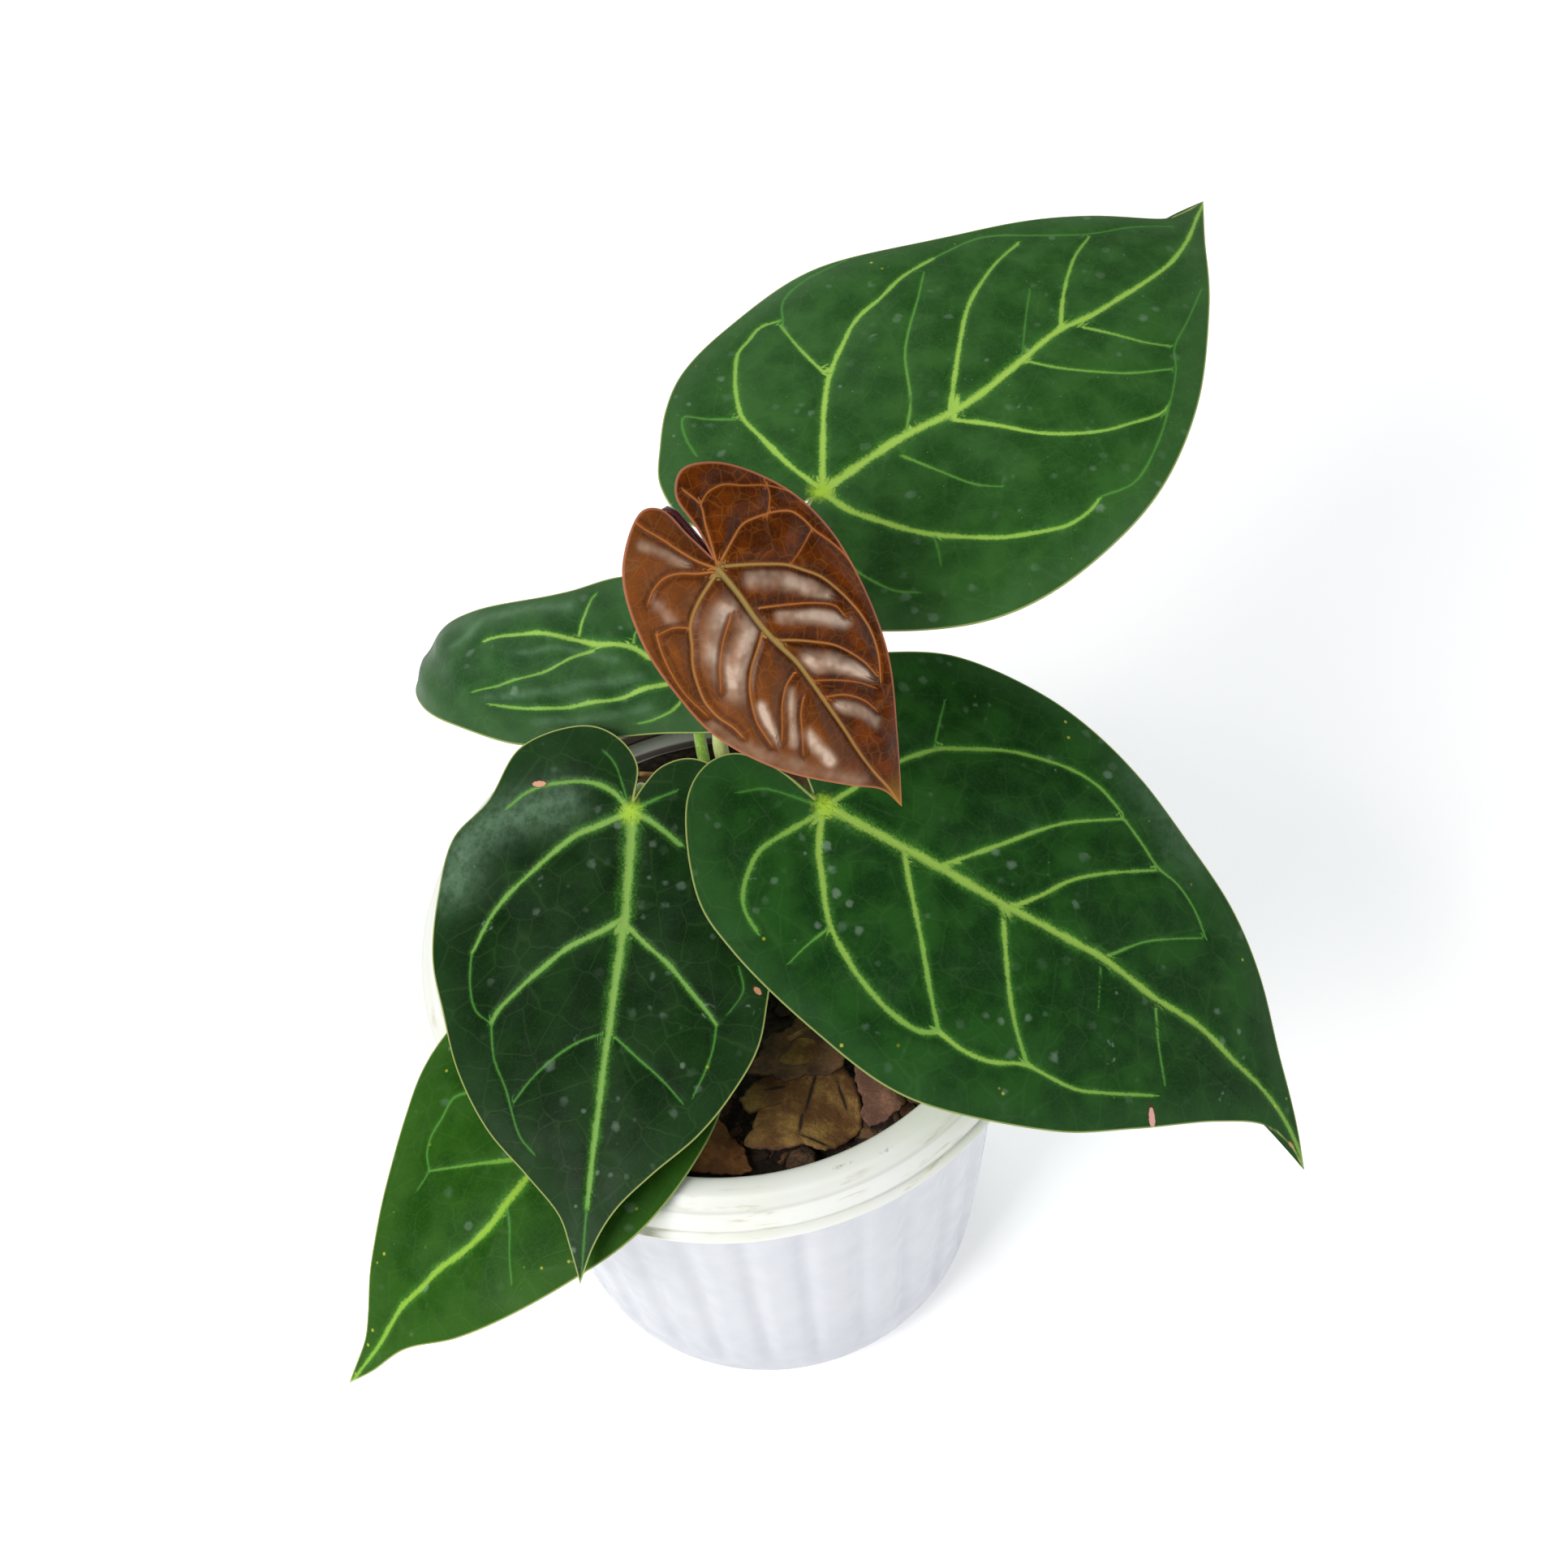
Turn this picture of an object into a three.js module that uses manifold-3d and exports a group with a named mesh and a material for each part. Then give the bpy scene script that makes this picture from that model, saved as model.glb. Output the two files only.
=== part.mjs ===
import * as THREE from "three";
import { mergeVertices } from "three/addons/utils/BufferGeometryUtils.js";
import Module from "manifold-3d";

// Driving dimensions, in millimetres and degrees. The pot's axis is Z and its feet stand on z = 0.
const POT_HEIGHT = 176;
const FOOT_HEIGHT = 8;
const MOUTH_RADIUS = 80.5;
const RIM_RADIUS = 98.4;
const LIP_RADIUS = 94.5;
const LIP_DEPTH = 15;
const BASE_RADIUS = 62.5;
const UPPER_BODY = { radius: 82, height: 100 };
const LOWER_BODY = { radius: 74, height: 56 };
const WALL = 1.8;
const TURNED_LIP = 9;
const FLUTES = 28;
const FLUTE_DEPTH = 0.5;
const FEET = 4;
const DRAIN_HOLES = 8;
const DRAIN_RADIUS = 3.5;
const DRAIN_CIRCLE = 38;
const DRAIN_CUT = 30;
const MIX_DEPTH = 17;
const MIX_SIDES = 36;
const GAP = 0.35;
const BLADE_THICKNESS = 0.9;
const RINGS = 4;
const SPOKES = 44;
const SHEET_THICKNESS = 0.8;
const TORN_POINTS = 22;

const MOUTH_Z = POT_HEIGHT;
const FLOOR_Z = FOOT_HEIGHT;

const wasm = await Module();
wasm.setup();

const plant = new THREE.Group();

// Turns a closed three.js geometry into a manifold-3d solid.
function solid(geometry) {
  const g = geometry.clone();
  g.deleteAttribute("normal");
  g.deleteAttribute("uv");
  const merged = mergeVertices(g, 1e-3);
  return new wasm.Manifold(
    new wasm.Mesh({
      numProp: 3,
      vertProperties: merged.attributes.position.array,
      triVerts: new Uint32Array(merged.index.array),
    }),
  );
}

// Turns a manifold-3d solid back into a three.js geometry.
function geometryOf(body) {
  const m = body.getMesh();
  const position = new Float32Array(m.numVert * 3);
  for (let i = 0; i < m.numVert; i++) {
    position.set(m.vertProperties.subarray(i * m.numProp, i * m.numProp + 3), i * 3);
  }
  return new THREE.BufferGeometry()
    .setAttribute("position", new THREE.BufferAttribute(position, 3))
    .setIndex(new THREE.BufferAttribute(new Uint32Array(m.triVerts), 1));
}

// Adds one named piece with its own material.
function piece(name, geometry, colour, roughness) {
  geometry.computeVertexNormals();
  const material = new THREE.MeshStandardMaterial({ color: colour, roughness, metalness: 0 });
  const mesh = new THREE.Mesh(geometry, material);
  mesh.name = name;
  plant.add(mesh);
  return mesh;
}

// Builds a geometry from a list of points and a list of triangles.
function surface(points, faces) {
  const g = new THREE.BufferGeometry();
  g.setAttribute("position", new THREE.Float32BufferAttribute(points.flatMap((p) => [p.x, p.y, p.z]), 3));
  g.setIndex(faces);
  return g;
}

// A body turned about Z from a profile of [radius, height] points that starts and ends on the axis.
function lathed(profile, sides) {
  const turned = new THREE.LatheGeometry(
    profile.map(([r, z]) => new THREE.Vector2(r, z)),
    sides,
  );
  return turned.rotateX(Math.PI / 2);
}

// A closed limb of round section along a smooth path: radius(t) is its radius at t, from 0 to 1.
function limb(path, radius, steps, sides) {
  const curve = new THREE.CatmullRomCurve3(path, false, "centripetal");
  const frames = curve.computeFrenetFrames(steps, false);
  const points = [];
  const faces = [];
  for (let i = 0; i <= steps; i++) {
    const t = i / steps;
    const centre = curve.getPointAt(t);
    for (let j = 0; j < sides; j++) {
      const a = (j / sides) * Math.PI * 2;
      const out = frames.normals[i].clone().multiplyScalar(Math.cos(a));
      out.addScaledVector(frames.binormals[i], Math.sin(a));
      points.push(centre.clone().addScaledVector(out, radius(t)));
    }
  }
  for (let i = 0; i < steps; i++) {
    for (let j = 0; j < sides; j++) {
      const k = (j + 1) % sides;
      const [a, b, c, d] = [i * sides + j, i * sides + k, (i + 1) * sides + k, (i + 1) * sides + j];
      faces.push(a, b, c, a, c, d);
    }
  }
  const first = points.push(curve.getPointAt(0)) - 1;
  const last = points.push(curve.getPointAt(1)) - 1;
  for (let j = 0; j < sides; j++) {
    const k = (j + 1) % sides;
    faces.push(first, k, j, last, steps * sides + j, steps * sides + k);
  }
  return surface(points, faces);
}

// The nursery pot: a moulded shell with a rounded collar, a soft-fluted taper, drain holes and four feet.
{
  const under = MOUTH_Z - LIP_DEPTH;
  const inside = [
    [0, FLOOR_Z + WALL],
    [BASE_RADIUS - 8, FLOOR_Z + WALL],
    [BASE_RADIUS - 3.2, FLOOR_Z + 4],
    [BASE_RADIUS + 1.2, FLOOR_Z + 12.5],
    [LOWER_BODY.radius - WALL, LOWER_BODY.height],
    [UPPER_BODY.radius - WALL, UPPER_BODY.height],
    [LIP_RADIUS - 4.4, under - 6],
    [LIP_RADIUS - 2.7, under],
    [RIM_RADIUS - 2.6, under + 4.5],
    [RIM_RADIUS - 3.2, MOUTH_Z - 7],
    [RIM_RADIUS - 6.6, MOUTH_Z - 4.4],
    [MOUTH_RADIUS + 5.4, MOUTH_Z - 2.6],
    [MOUTH_RADIUS + 2.2, MOUTH_Z - 3.4],
    [MOUTH_RADIUS + 1.6, MOUTH_Z - TURNED_LIP],
    [MOUTH_RADIUS, MOUTH_Z - TURNED_LIP],
  ];
  const outside = [
    [MOUTH_RADIUS, MOUTH_Z - 3],
    [MOUTH_RADIUS + 0.7, MOUTH_Z - 0.8],
    [MOUTH_RADIUS + 2.8, MOUTH_Z],
    [MOUTH_RADIUS + 8, MOUTH_Z - 0.6],
    [RIM_RADIUS - 4.6, MOUTH_Z - 3],
    [RIM_RADIUS - 1.2, MOUTH_Z - 6.5],
    [RIM_RADIUS, MOUTH_Z - 10],
    [RIM_RADIUS - 1, MOUTH_Z - 12.6],
    [LIP_RADIUS + 0.8, under],
    [LIP_RADIUS, under - 1.6],
    [LIP_RADIUS - 1.6, under - 2.8],
    [LIP_RADIUS - 2.4, under - 5],
    [UPPER_BODY.radius, UPPER_BODY.height],
    [LOWER_BODY.radius, LOWER_BODY.height],
    [BASE_RADIUS + 3, FLOOR_Z + 12],
    [BASE_RADIUS, FLOOR_Z + 4],
    [BASE_RADIUS - 4, FLOOR_Z],
    [0, FLOOR_Z],
  ];
  const profile = [...inside, ...outside].reverse();
  const shell = lathed(profile, FLUTES * 2);
  const p = shell.attributes.position;
  for (let i = 0; i < p.count; i++) {
    const row = i % profile.length;
    const [r, z] = profile[row];
    if (row >= outside.length || z > under - 4 || z < FLOOR_Z + 3) continue;
    const a = Math.atan2(p.getY(i), p.getX(i));
    const grow = 1 - (FLUTE_DEPTH * (0.5 - 0.5 * Math.cos(a * FLUTES))) / r;
    p.setXY(i, p.getX(i) * grow, p.getY(i) * grow);
  }
  let body = solid(shell);
  const footProfile = [
    [0, 0],
    [5, 0],
    [7, 1],
    [8, 3],
    [9, FOOT_HEIGHT + 1.2],
    [0, FOOT_HEIGHT + 1.2],
  ];
  for (let i = 0; i < FEET; i++) {
    const turn = i * (360 / FEET);
    const foot = solid(lathed(footProfile, 16).scale(0.75, 1, 1));
    body = body.add(foot.translate([BASE_RADIUS - 10, 0, 0]).rotate([0, 0, turn]));
  }
  for (let i = 0; i < DRAIN_HOLES; i++) {
    const a = ((i + 0.25) / DRAIN_HOLES) * Math.PI * 2;
    const [x, y] = [Math.cos(a) * DRAIN_CIRCLE, Math.sin(a) * DRAIN_CIRCLE];
    const hole = new THREE.CylinderGeometry(DRAIN_RADIUS, DRAIN_RADIUS, DRAIN_CUT, 12).rotateX(Math.PI / 2);
    body = body.subtract(solid(hole.translate(x, y, FLOOR_Z)));
  }
  piece("pot", geometryOf(body), 0xe9ebe6, 0.35);
}

// The potting mix fills the shell to a little under the mouth.
const MIX_Z = MOUTH_Z - MIX_DEPTH;
let soil;
{
  const clear = WALL + GAP;
  const mix = lathed(
    [
      [0, FLOOR_Z + clear],
      [BASE_RADIUS - 9, FLOOR_Z + clear],
      [BASE_RADIUS - 4, FLOOR_Z + 5],
      [LOWER_BODY.radius - clear - 0.3, LOWER_BODY.height],
      [UPPER_BODY.radius - clear - 0.3, UPPER_BODY.height],
      [LIP_RADIUS - 5.2, MIX_Z - 5],
      [LIP_RADIUS - 7, MIX_Z - 1],
      [LIP_RADIUS - 14, MIX_Z],
      [0, MIX_Z + 1],
    ],
    MIX_SIDES,
  );
  soil = solid(mix);
}

// Places given from here on are measured from the middle of the mouth, so they ride in this group.
const above = (x, y, z) => new THREE.Vector3(x, y, z + MOUTH_Z);

// The short stem that all leaves grow from, half sunk in the mix.
// The argument wider makes the same stem thicker all round.
function stem(wider) {
  const path = [above(1, 21, -26 - wider), above(0, 20, -12), above(1, 19, -2), above(2, 20, 5 + wider)];
  return limb(path, (t) => 9 - 3.5 * t - 5 * Math.max(0, t - 0.8) + wider, 9, 12);
}
const aroundStem = solid(stem(GAP));
soil = soil.subtract(aroundStem);
piece("stem", stem(0), 0x6d7a45, 0.7);

// Roots leave the side of the stem and go down into the mix.
const ROOTS = [
  { name: "root_left", turn: 156, reach: 24, from: -7 },
  { name: "root_front", turn: 285, reach: 20, from: -9 },
  { name: "root_right", turn: 357, reach: 26, from: -6 },
  { name: "root_back", turn: 80, reach: 22, from: -8 },
];
for (const root of ROOTS) {
  const a = THREE.MathUtils.degToRad(root.turn);
  const along = (out, z) => above(1 + Math.cos(a) * out, 20 + Math.sin(a) * out, z);
  const shape = (wider) => {
    const path = [along(5, root.from), along(11, root.from - 1), along(root.reach * 0.7, root.from - 8)];
    return limb([...path, along(root.reach, root.from - 24 - wider)], (t) => 1.9 - 0.9 * t + wider, 8, 6);
  };
  soil = soil.subtract(solid(shape(GAP)));
  piece(root.name, geometryOf(solid(shape(0)).subtract(aroundStem)), 0x8b7a55, 0.85);
}
piece("potting_mix", geometryOf(soil), 0x241a14, 0.95);

// Each leaf: where its petiole joins the blade, the heading, pitch and bank of the blade there, its length,
// how far out it starts to bend and by how much, and the outline of its left and right halves as
// [along, across] points from the notch to the tip.
const leaves = {
  back_right: {
    at: [43, 75, 102],
    heading: 40.4,
    pitch: 1.4,
    bank: 0,
    length: 173,
    bendFrom: 52,
    bend: 25,
    arch: 6,
    sway: -6,
    halfWidth: 70,
    left: [
      [-20, 6], [-31, 20], [-26, 38], [-15, 49], [-3, 58], [10, 64], [30, 66.5], [63, 61],
      [105, 35], [136, 16], [154, 0], [162, -1],
    ],
    right: [
      [-20, -7], [-32, -16], [-34, -31], [-22, -47], [-2, -63], [18, -71], [43, -73],
      [68, -70], [95, -59], [129, -36], [154, -15],
    ],
    stalk: [[7.5, 25, -9], [8, 27, 30], [5.5, 28, 57], [16, 44, 84]],
    stalkRadius: 2.4,
  },
  young_copper: {
    at: [13, 15, 150],
    heading: -43.5,
    pitch: -47.5,
    bank: 15,
    length: 89,
    bendFrom: 27,
    bend: 20,
    arch: 3,
    sway: 0,
    halfWidth: 33,
    left: [[-22, 1], [-26, 7], [-21, 17], [-4, 27], [13, 30], [30, 28], [49, 22], [69, 11]],
    right: [
      [-22, -1.5], [-25, -5], [-17, -20], [1, -28], [19, -30], [34, -29], [54, -21], [71, -9],
      [80, -2],
    ],
    stalk: [
      [3.5, 20, 2], [9, 20, 30], [12, 25, 65], [4, 35, 100], [-3, 34, 136], [-3, 27, 154],
      [2, 26.3, 161.5],
    ],
    kneeDrop: 0.2,
    stalkRadius: 1.6,
  },
  back_left: {
    at: [4, 51, 58],
    heading: 153.4,
    pitch: 1.4,
    bank: -10,
    length: 120,
    bendFrom: 42,
    bend: 80,
    arch: 6,
    sway: 0,
    halfWidth: 50,
    left: [[-15, 4], [-20, 10], [-12, 16], [9, 23], [31, 31], [47, 36], [70, 33], [90, 26], [108, 14]],
    right: [
      [-15, -4], [-22, -12], [-18, -22], [-4, -29], [16, -29], [36, -22], [48, -14], [60, -9],
      [80, -5], [100, -3],
    ],
    stalk: [[-2, 28, -7], [-0.3, 34, 32], [1, 43, 48]],
    stalkRadius: 2,
  },
  front_right: {
    at: [32, -1, 58],
    heading: -35,
    pitch: -21,
    bank: 2,
    length: 179,
    bendFrom: 63,
    bend: 35,
    arch: 6,
    sway: 6,
    halfWidth: 65,
    left: [
      [-16, 12], [-24, 27], [-18, 44], [-7, 55], [10, 66], [38, 71], [72, 64], [97, 54],
      [117, 45], [135, 34], [153, 19], [171, 6],
    ],
    right: [
      [-18, 2], [-29, -1], [-34, -9], [-33, -21], [-16, -43], [-1, -50], [30, -57], [64, -58],
      [102, -43], [122, -28], [143, -10], [158, 0], [169, 2],
    ],
    stalk: [[8.5, 14.5, -10], [16, 9, 22], [25, 4, 43]],
    stalkRadius: 2.5,
  },
  front_left: {
    at: [-22, 10, 52],
    heading: -105,
    pitch: -18,
    bank: 5,
    length: 133,
    bendFrom: 67,
    bend: 20,
    arch: 5,
    sway: 0,
    halfWidth: 52,
    left: [
      [-8, 2.5], [-14, 7], [-17, 15], [-14, 24], [3, 39], [25, 45], [49, 45], [64, 44],
      [78, 38], [90, 30], [102, 18], [112, 9], [122, 3.5],
    ],
    right: [
      [-14, 0], [-22, -7], [-25, -17], [-18, -36], [-2, -44], [9, -53], [26, -55], [45, -54],
      [61, -48], [77, -41], [93, -30], [105, -17], [115, -7], [123, -3.5],
    ],
    stalk: [[-7, 18, -9], [-14, 20, 16], [-19, 20, 36]],
    stalkRadius: 2.2,
  },
  low_left: {
    at: [-40, -40, 11],
    heading: -143,
    pitch: -12,
    bank: 0,
    length: 126,
    bendFrom: 31,
    bend: 45,
    arch: 6,
    sway: 0,
    halfWidth: 52,
    left: [
      [-18, 7], [-26, 20], [-20, 32], [-8, 40], [10, 45], [33, 46], [52, 42], [70, 35],
      [89, 24], [103, 12], [116, 6],
    ],
    right: [
      [-16, -6], [-26, -18], [-22, -30], [-8, -38], [10, -41], [27, -40], [40, -37], [53, -31],
      [68, -23], [83, -15], [93, -10], [103, -4], [110, -1],
    ],
    stalk: [[-4, 12.5, -12], [-18, -10, -9], [-31, -28, -1]],
    stalkRadius: 2,
  },
};

// The place of a blade's point [along, across], lifted off the middle of its thickness.
function onBlade(leaf, along, across, lifted) {
  const rad = THREE.MathUtils.degToRad;
  const [h, p, b] = [rad(leaf.heading), rad(leaf.pitch), rad(leaf.bank)];
  const forward = new THREE.Vector3(Math.cos(h) * Math.cos(p), Math.sin(h) * Math.cos(p), Math.sin(p));
  const level = new THREE.Vector3(-Math.sin(h), Math.cos(h), 0);
  const up = forward.clone().cross(level);
  const side = level.multiplyScalar(Math.cos(b)).addScaledVector(up, Math.sin(b));
  const out = forward.clone().cross(side);
  const curl = rad(leaf.bend) / (leaf.length - leaf.bendFrom);
  const turn = Math.max(0, along - leaf.bendFrom) * curl;
  const reach = turn > 0 ? leaf.bendFrom + Math.sin(turn) / curl : along;
  const drop = turn > 0 ? (1 - Math.cos(turn)) / curl : 0;
  const s = THREE.MathUtils.clamp(along / leaf.length, 0, 1);
  const fromMidrib = across - 4 * leaf.sway * s * (1 - s);
  const raised = lifted - leaf.arch * (fromMidrib / leaf.halfWidth) ** 2;
  return above(...leaf.at)
    .addScaledVector(forward, reach + raised * Math.sin(turn))
    .addScaledVector(side, across)
    .addScaledVector(out, raised * Math.cos(turn) - drop);
}

// A thin closed sheet: rings run from its middle out to its outline, above and below,
// and meet at the margin.
function sheet(outline, middle, rings, place) {
  const sides = outline.length;
  const points = [];
  const faces = [];
  for (const upper of [true, false]) {
    const first = points.length;
    points.push(place(middle.x, middle.y, upper));
    for (let ring = 1; ring <= rings; ring++) {
      const out = Math.sin(((ring / rings) * Math.PI) / 2) ** 0.9;
      for (const q of outline) {
        points.push(place(middle.x + (q.x - middle.x) * out, middle.y + (q.y - middle.y) * out, upper));
      }
    }
    const tri = (a, b, c) => faces.push(...(upper ? [a, c, b] : [a, b, c]));
    for (let j = 0; j < sides; j++) {
      const k = (j + 1) % sides;
      tri(first, first + 1 + j, first + 1 + k);
      for (let ring = 0; ring < rings - 1; ring++) {
        const [a, b] = [first + 1 + ring * sides + j, first + 1 + ring * sides + k];
        tri(a, a + sides, b + sides);
        tri(a, b + sides, b);
      }
    }
  }
  const under = points.length / 2;
  const rim = under - sides;
  for (let j = 0; j < sides; j++) {
    const k = (j + 1) % sides;
    faces.push(rim + j, rim + k, under + rim + k, rim + j, under + rim + k, under + rim + j);
  }
  return surface(points, faces);
}

// A blade is a sheet with its leaf's outline, bent as that leaf is.
function blade(leaf) {
  const half = (side) => {
    const through = [[-3, 0], ...side, [leaf.length, 0]].map(([x, y]) => new THREE.Vector3(x, y, 0));
    return new THREE.CatmullRomCurve3(through, false, "centripetal").getSpacedPoints(SPOKES / 2);
  };
  const outline = [...half(leaf.left).slice(0, -1), ...half(leaf.right).reverse().slice(0, -1)];
  const middle = new THREE.Vector2(leaf.length / 4, 0);
  const skin = BLADE_THICKNESS / 2;
  return sheet(outline, middle, RINGS, (x, y, upper) => onBlade(leaf, x, y, upper ? skin : -skin));
}

// A petiole runs from the stem through its stalk points to just under the blade, with a thicker knee there.
function petiole(leaf) {
  const r = leaf.stalkRadius;
  const end = onBlade(leaf, -1, 0, -BLADE_THICKNESS / 2 - GAP - r * 1.15);
  const before = onBlade(leaf, -9, 0, -BLADE_THICKNESS / 2 - GAP - r * 1.3 - (leaf.kneeDrop ?? 3));
  const path = [...leaf.stalk.map((p) => above(...p)), before, end];
  return limb(path, (t) => r * (1.25 - 0.45 * Math.min(1, t * 1.4) + (t > 0.9 ? 0.25 : 0)), 18, 7);
}

let resting = solid(plant.getObjectByName("pot").geometry).add(soil).add(aroundStem);
for (const [name, leaf] of Object.entries(leaves)) {
  const young = name === "young_copper";
  const stalk = solid(petiole(leaf)).subtract(aroundStem);
  resting = resting.add(stalk);
  piece("blade_" + name, blade(leaf), young ? 0x7a4420 : 0x2c5a2c, 0.4);
  piece("petiole_" + name, geometryOf(stalk), young ? 0x5a2a24 : 0x8aa04a, 0.5);
}

// Litter drops straight down until it lies a hair off whatever is under it.
function settle(name, geometry, colour) {
  let body = solid(geometry);
  const farthest = 20;
  const steps = 60;
  for (let i = 0; i < steps; i++) {
    const gap = body.minGap(resting, farthest);
    if (gap < GAP + 0.03) break;
    body = body.translate([0, 0, GAP - gap]);
  }
  resting = resting.add(body);
  piece(name, geometryOf(body), colour, 0.9);
}

// Dry leaf pieces: middle x and y, half length and half width, heading, tilt across, upward curl,
// and torn, which shifts the ragged edge.
const DRY_LEAVES = [
  {
    name: "dry_leaf_big", x: 33, y: -50, long: 25, wide: 14,
    heading: 60, tilt: 4, curl: 3, torn: 1, colour: 0x7d6046,
  },
  {
    name: "dry_leaf_left", x: 0, y: -64, long: 13, wide: 8,
    heading: 75, tilt: -6, curl: 2, torn: 4, colour: 0x8a5a34,
  },
  {
    name: "dry_leaf_pink", x: 55, y: -33, long: 17, wide: 9,
    heading: 100, tilt: 8, curl: 3, torn: 2, colour: 0x7a5347,
  },
  {
    name: "dry_leaf_under", x: 18, y: -38, long: 16, wide: 10,
    heading: 20, tilt: 0, curl: 2, torn: 5, colour: 0x5a3d2a,
  },
  {
    name: "dry_leaf_back", x: -22, y: 58, long: 20, wide: 9,
    heading: 15, tilt: 5, curl: 2, torn: 3, colour: 0x4a3222,
  },
  {
    name: "dry_leaf_right", x: 58, y: 20, long: 18, wide: 11,
    heading: 120, tilt: -5, curl: 3, torn: 6, colour: 0x6b4e38,
  },
  {
    name: "dry_leaf_west", x: -58, y: 12, long: 17, wide: 10,
    heading: 70, tilt: 5, curl: 2, torn: 7, colour: 0x5d4433,
  },
  {
    name: "dry_leaf_small", x: 30, y: 58, long: 12, wide: 7,
    heading: -30, tilt: 6, curl: 2, torn: 8, colour: 0x6f5138,
  },
];
for (const d of DRY_LEAVES) {
  const h = THREE.MathUtils.degToRad(d.heading);
  const slope = Math.tan(THREE.MathUtils.degToRad(d.tilt));
  const outline = [];
  for (let j = 0; j < TORN_POINTS; j++) {
    const a = (-j / TORN_POINTS) * Math.PI * 2;
    const ragged = 1 + 0.1 * Math.sin(3 * a + d.torn) + 0.09 * Math.sin(7 * a + 2.3 * d.torn);
    outline.push(new THREE.Vector2(Math.cos(a) * d.long * ragged, Math.sin(a) * d.wide * ragged));
  }
  const place = (x, y, upper) => {
    const curled = d.curl * ((x / d.long) ** 2 * 0.6 + (y / d.wide) ** 2) + 0.8 * Math.sin(x / 5 + d.torn);
    const z = curled + slope * y + (upper ? SHEET_THICKNESS : 0);
    return above(d.x + x * Math.cos(h) - y * Math.sin(h), d.y + x * Math.sin(h) + y * Math.cos(h), z);
  };
  settle(d.name, sheet(outline, new THREE.Vector2(0, 0), 3, place), d.colour);
}

// Bits of bark from the mix that lie loose on top.
const BARK = [
  { x: -8, y: 66, size: 5, turn: 20 },
  { x: -32, y: 48, size: 6, turn: 70 },
  { x: 12, y: -72, size: 4.5, turn: 130 },
  { x: 48, y: -56, size: 4.5, turn: 50 },
  { x: -10, y: -48, size: 5.5, turn: 100 },
  { x: 40, y: 34, size: 6, turn: 15 },
  { x: -44, y: 34, size: 5, turn: 160 },
];
BARK.forEach((b, i) => {
  const chip = new THREE.IcosahedronGeometry(b.size, 1).scale(1.4, 0.9, 0.5);
  chip.rotateZ(THREE.MathUtils.degToRad(b.turn)).rotateX(0.2 * Math.sin(i * 2.1));
  settle("bark_" + (i + 1), chip.translate(b.x, b.y, MOUTH_Z - 3), 0x4b3324);
});

// Thin twigs and straws lie across the litter.
const TWIGS = [
  { x: 26, y: -30, length: 30, turn: 25, radius: 0.8 },
  { x: 50, y: -44, length: 22, turn: 75, radius: 0.7 },
  { x: -16, y: 64, length: 26, turn: -12, radius: 0.9 },
];
TWIGS.forEach((t, i) => {
  const a = THREE.MathUtils.degToRad(t.turn);
  const half = t.length / 2;
  const sagging = (s) => 2 + 0.004 * s * s;
  const path = [-half, 0, half].map((s) => above(t.x + Math.cos(a) * s, t.y + Math.sin(a) * s, sagging(s)));
  settle("twig_" + (i + 1), limb(path, () => t.radius, 5, 5), 0x9a7b52);
});

// The finished part stands with the middle of its bounding box over the origin.
const box = new THREE.Box3().setFromObject(plant);
const middle = box.getCenter(new THREE.Vector3());
plant.position.set(-middle.x, -middle.y, -box.min.z);
const root = new THREE.Group();
root.add(plant);

export default root;
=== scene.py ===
import math
import bpy
import bmesh
import numpy as np
from mathutils import Matrix, Vector


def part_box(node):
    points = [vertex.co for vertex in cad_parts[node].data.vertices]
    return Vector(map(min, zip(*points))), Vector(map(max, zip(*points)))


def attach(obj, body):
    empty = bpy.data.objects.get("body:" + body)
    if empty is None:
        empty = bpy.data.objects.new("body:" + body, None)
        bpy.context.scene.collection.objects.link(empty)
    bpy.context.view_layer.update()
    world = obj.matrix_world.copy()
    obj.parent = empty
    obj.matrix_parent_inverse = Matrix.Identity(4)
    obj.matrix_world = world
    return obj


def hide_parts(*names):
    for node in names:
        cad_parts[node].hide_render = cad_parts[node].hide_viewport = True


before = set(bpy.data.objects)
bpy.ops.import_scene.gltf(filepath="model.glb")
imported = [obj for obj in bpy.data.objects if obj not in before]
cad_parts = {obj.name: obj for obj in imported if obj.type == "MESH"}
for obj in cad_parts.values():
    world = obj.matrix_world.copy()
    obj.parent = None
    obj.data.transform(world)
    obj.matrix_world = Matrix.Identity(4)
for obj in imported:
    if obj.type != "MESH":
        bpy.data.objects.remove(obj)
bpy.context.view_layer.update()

# The nursery pot is one thin moulding of white plastic: a rounded collar over a soft-fluted taper,
# with four feet and eight drain holes. The collar is scuffed and a little yellowed by water and soil.
POT_HEIGHT = 176.0
FOOT_HEIGHT = 8.0
MOUTH = 80.5
RIM = 93.0
LIP = 92.2
BODY_TOP = 84.4
LIP_DEPTH = 15.0
BASE = 64.3
WAIST, WAIST_HEIGHT = 76.0, 100
HIP, HIP_HEIGHT = 71.2, 56
WALL = 1.8
TURNED_LIP = 9.0
FLUTES = 28
FLUTE_DEPTH = 1.5
POT_SIDES = FLUTES * 14
pot_low, pot_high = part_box("pot")
AXIS = np.array([(pot_low.x + pot_high.x) / 2, (pot_low.y + pot_high.y) / 2, 0.0])


def placed(points):
    """Points in millimetres, measured from the foot of the pot's axis, as metres in the row frame."""
    return np.asarray(points, float) / 1000 + AXIS


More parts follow.
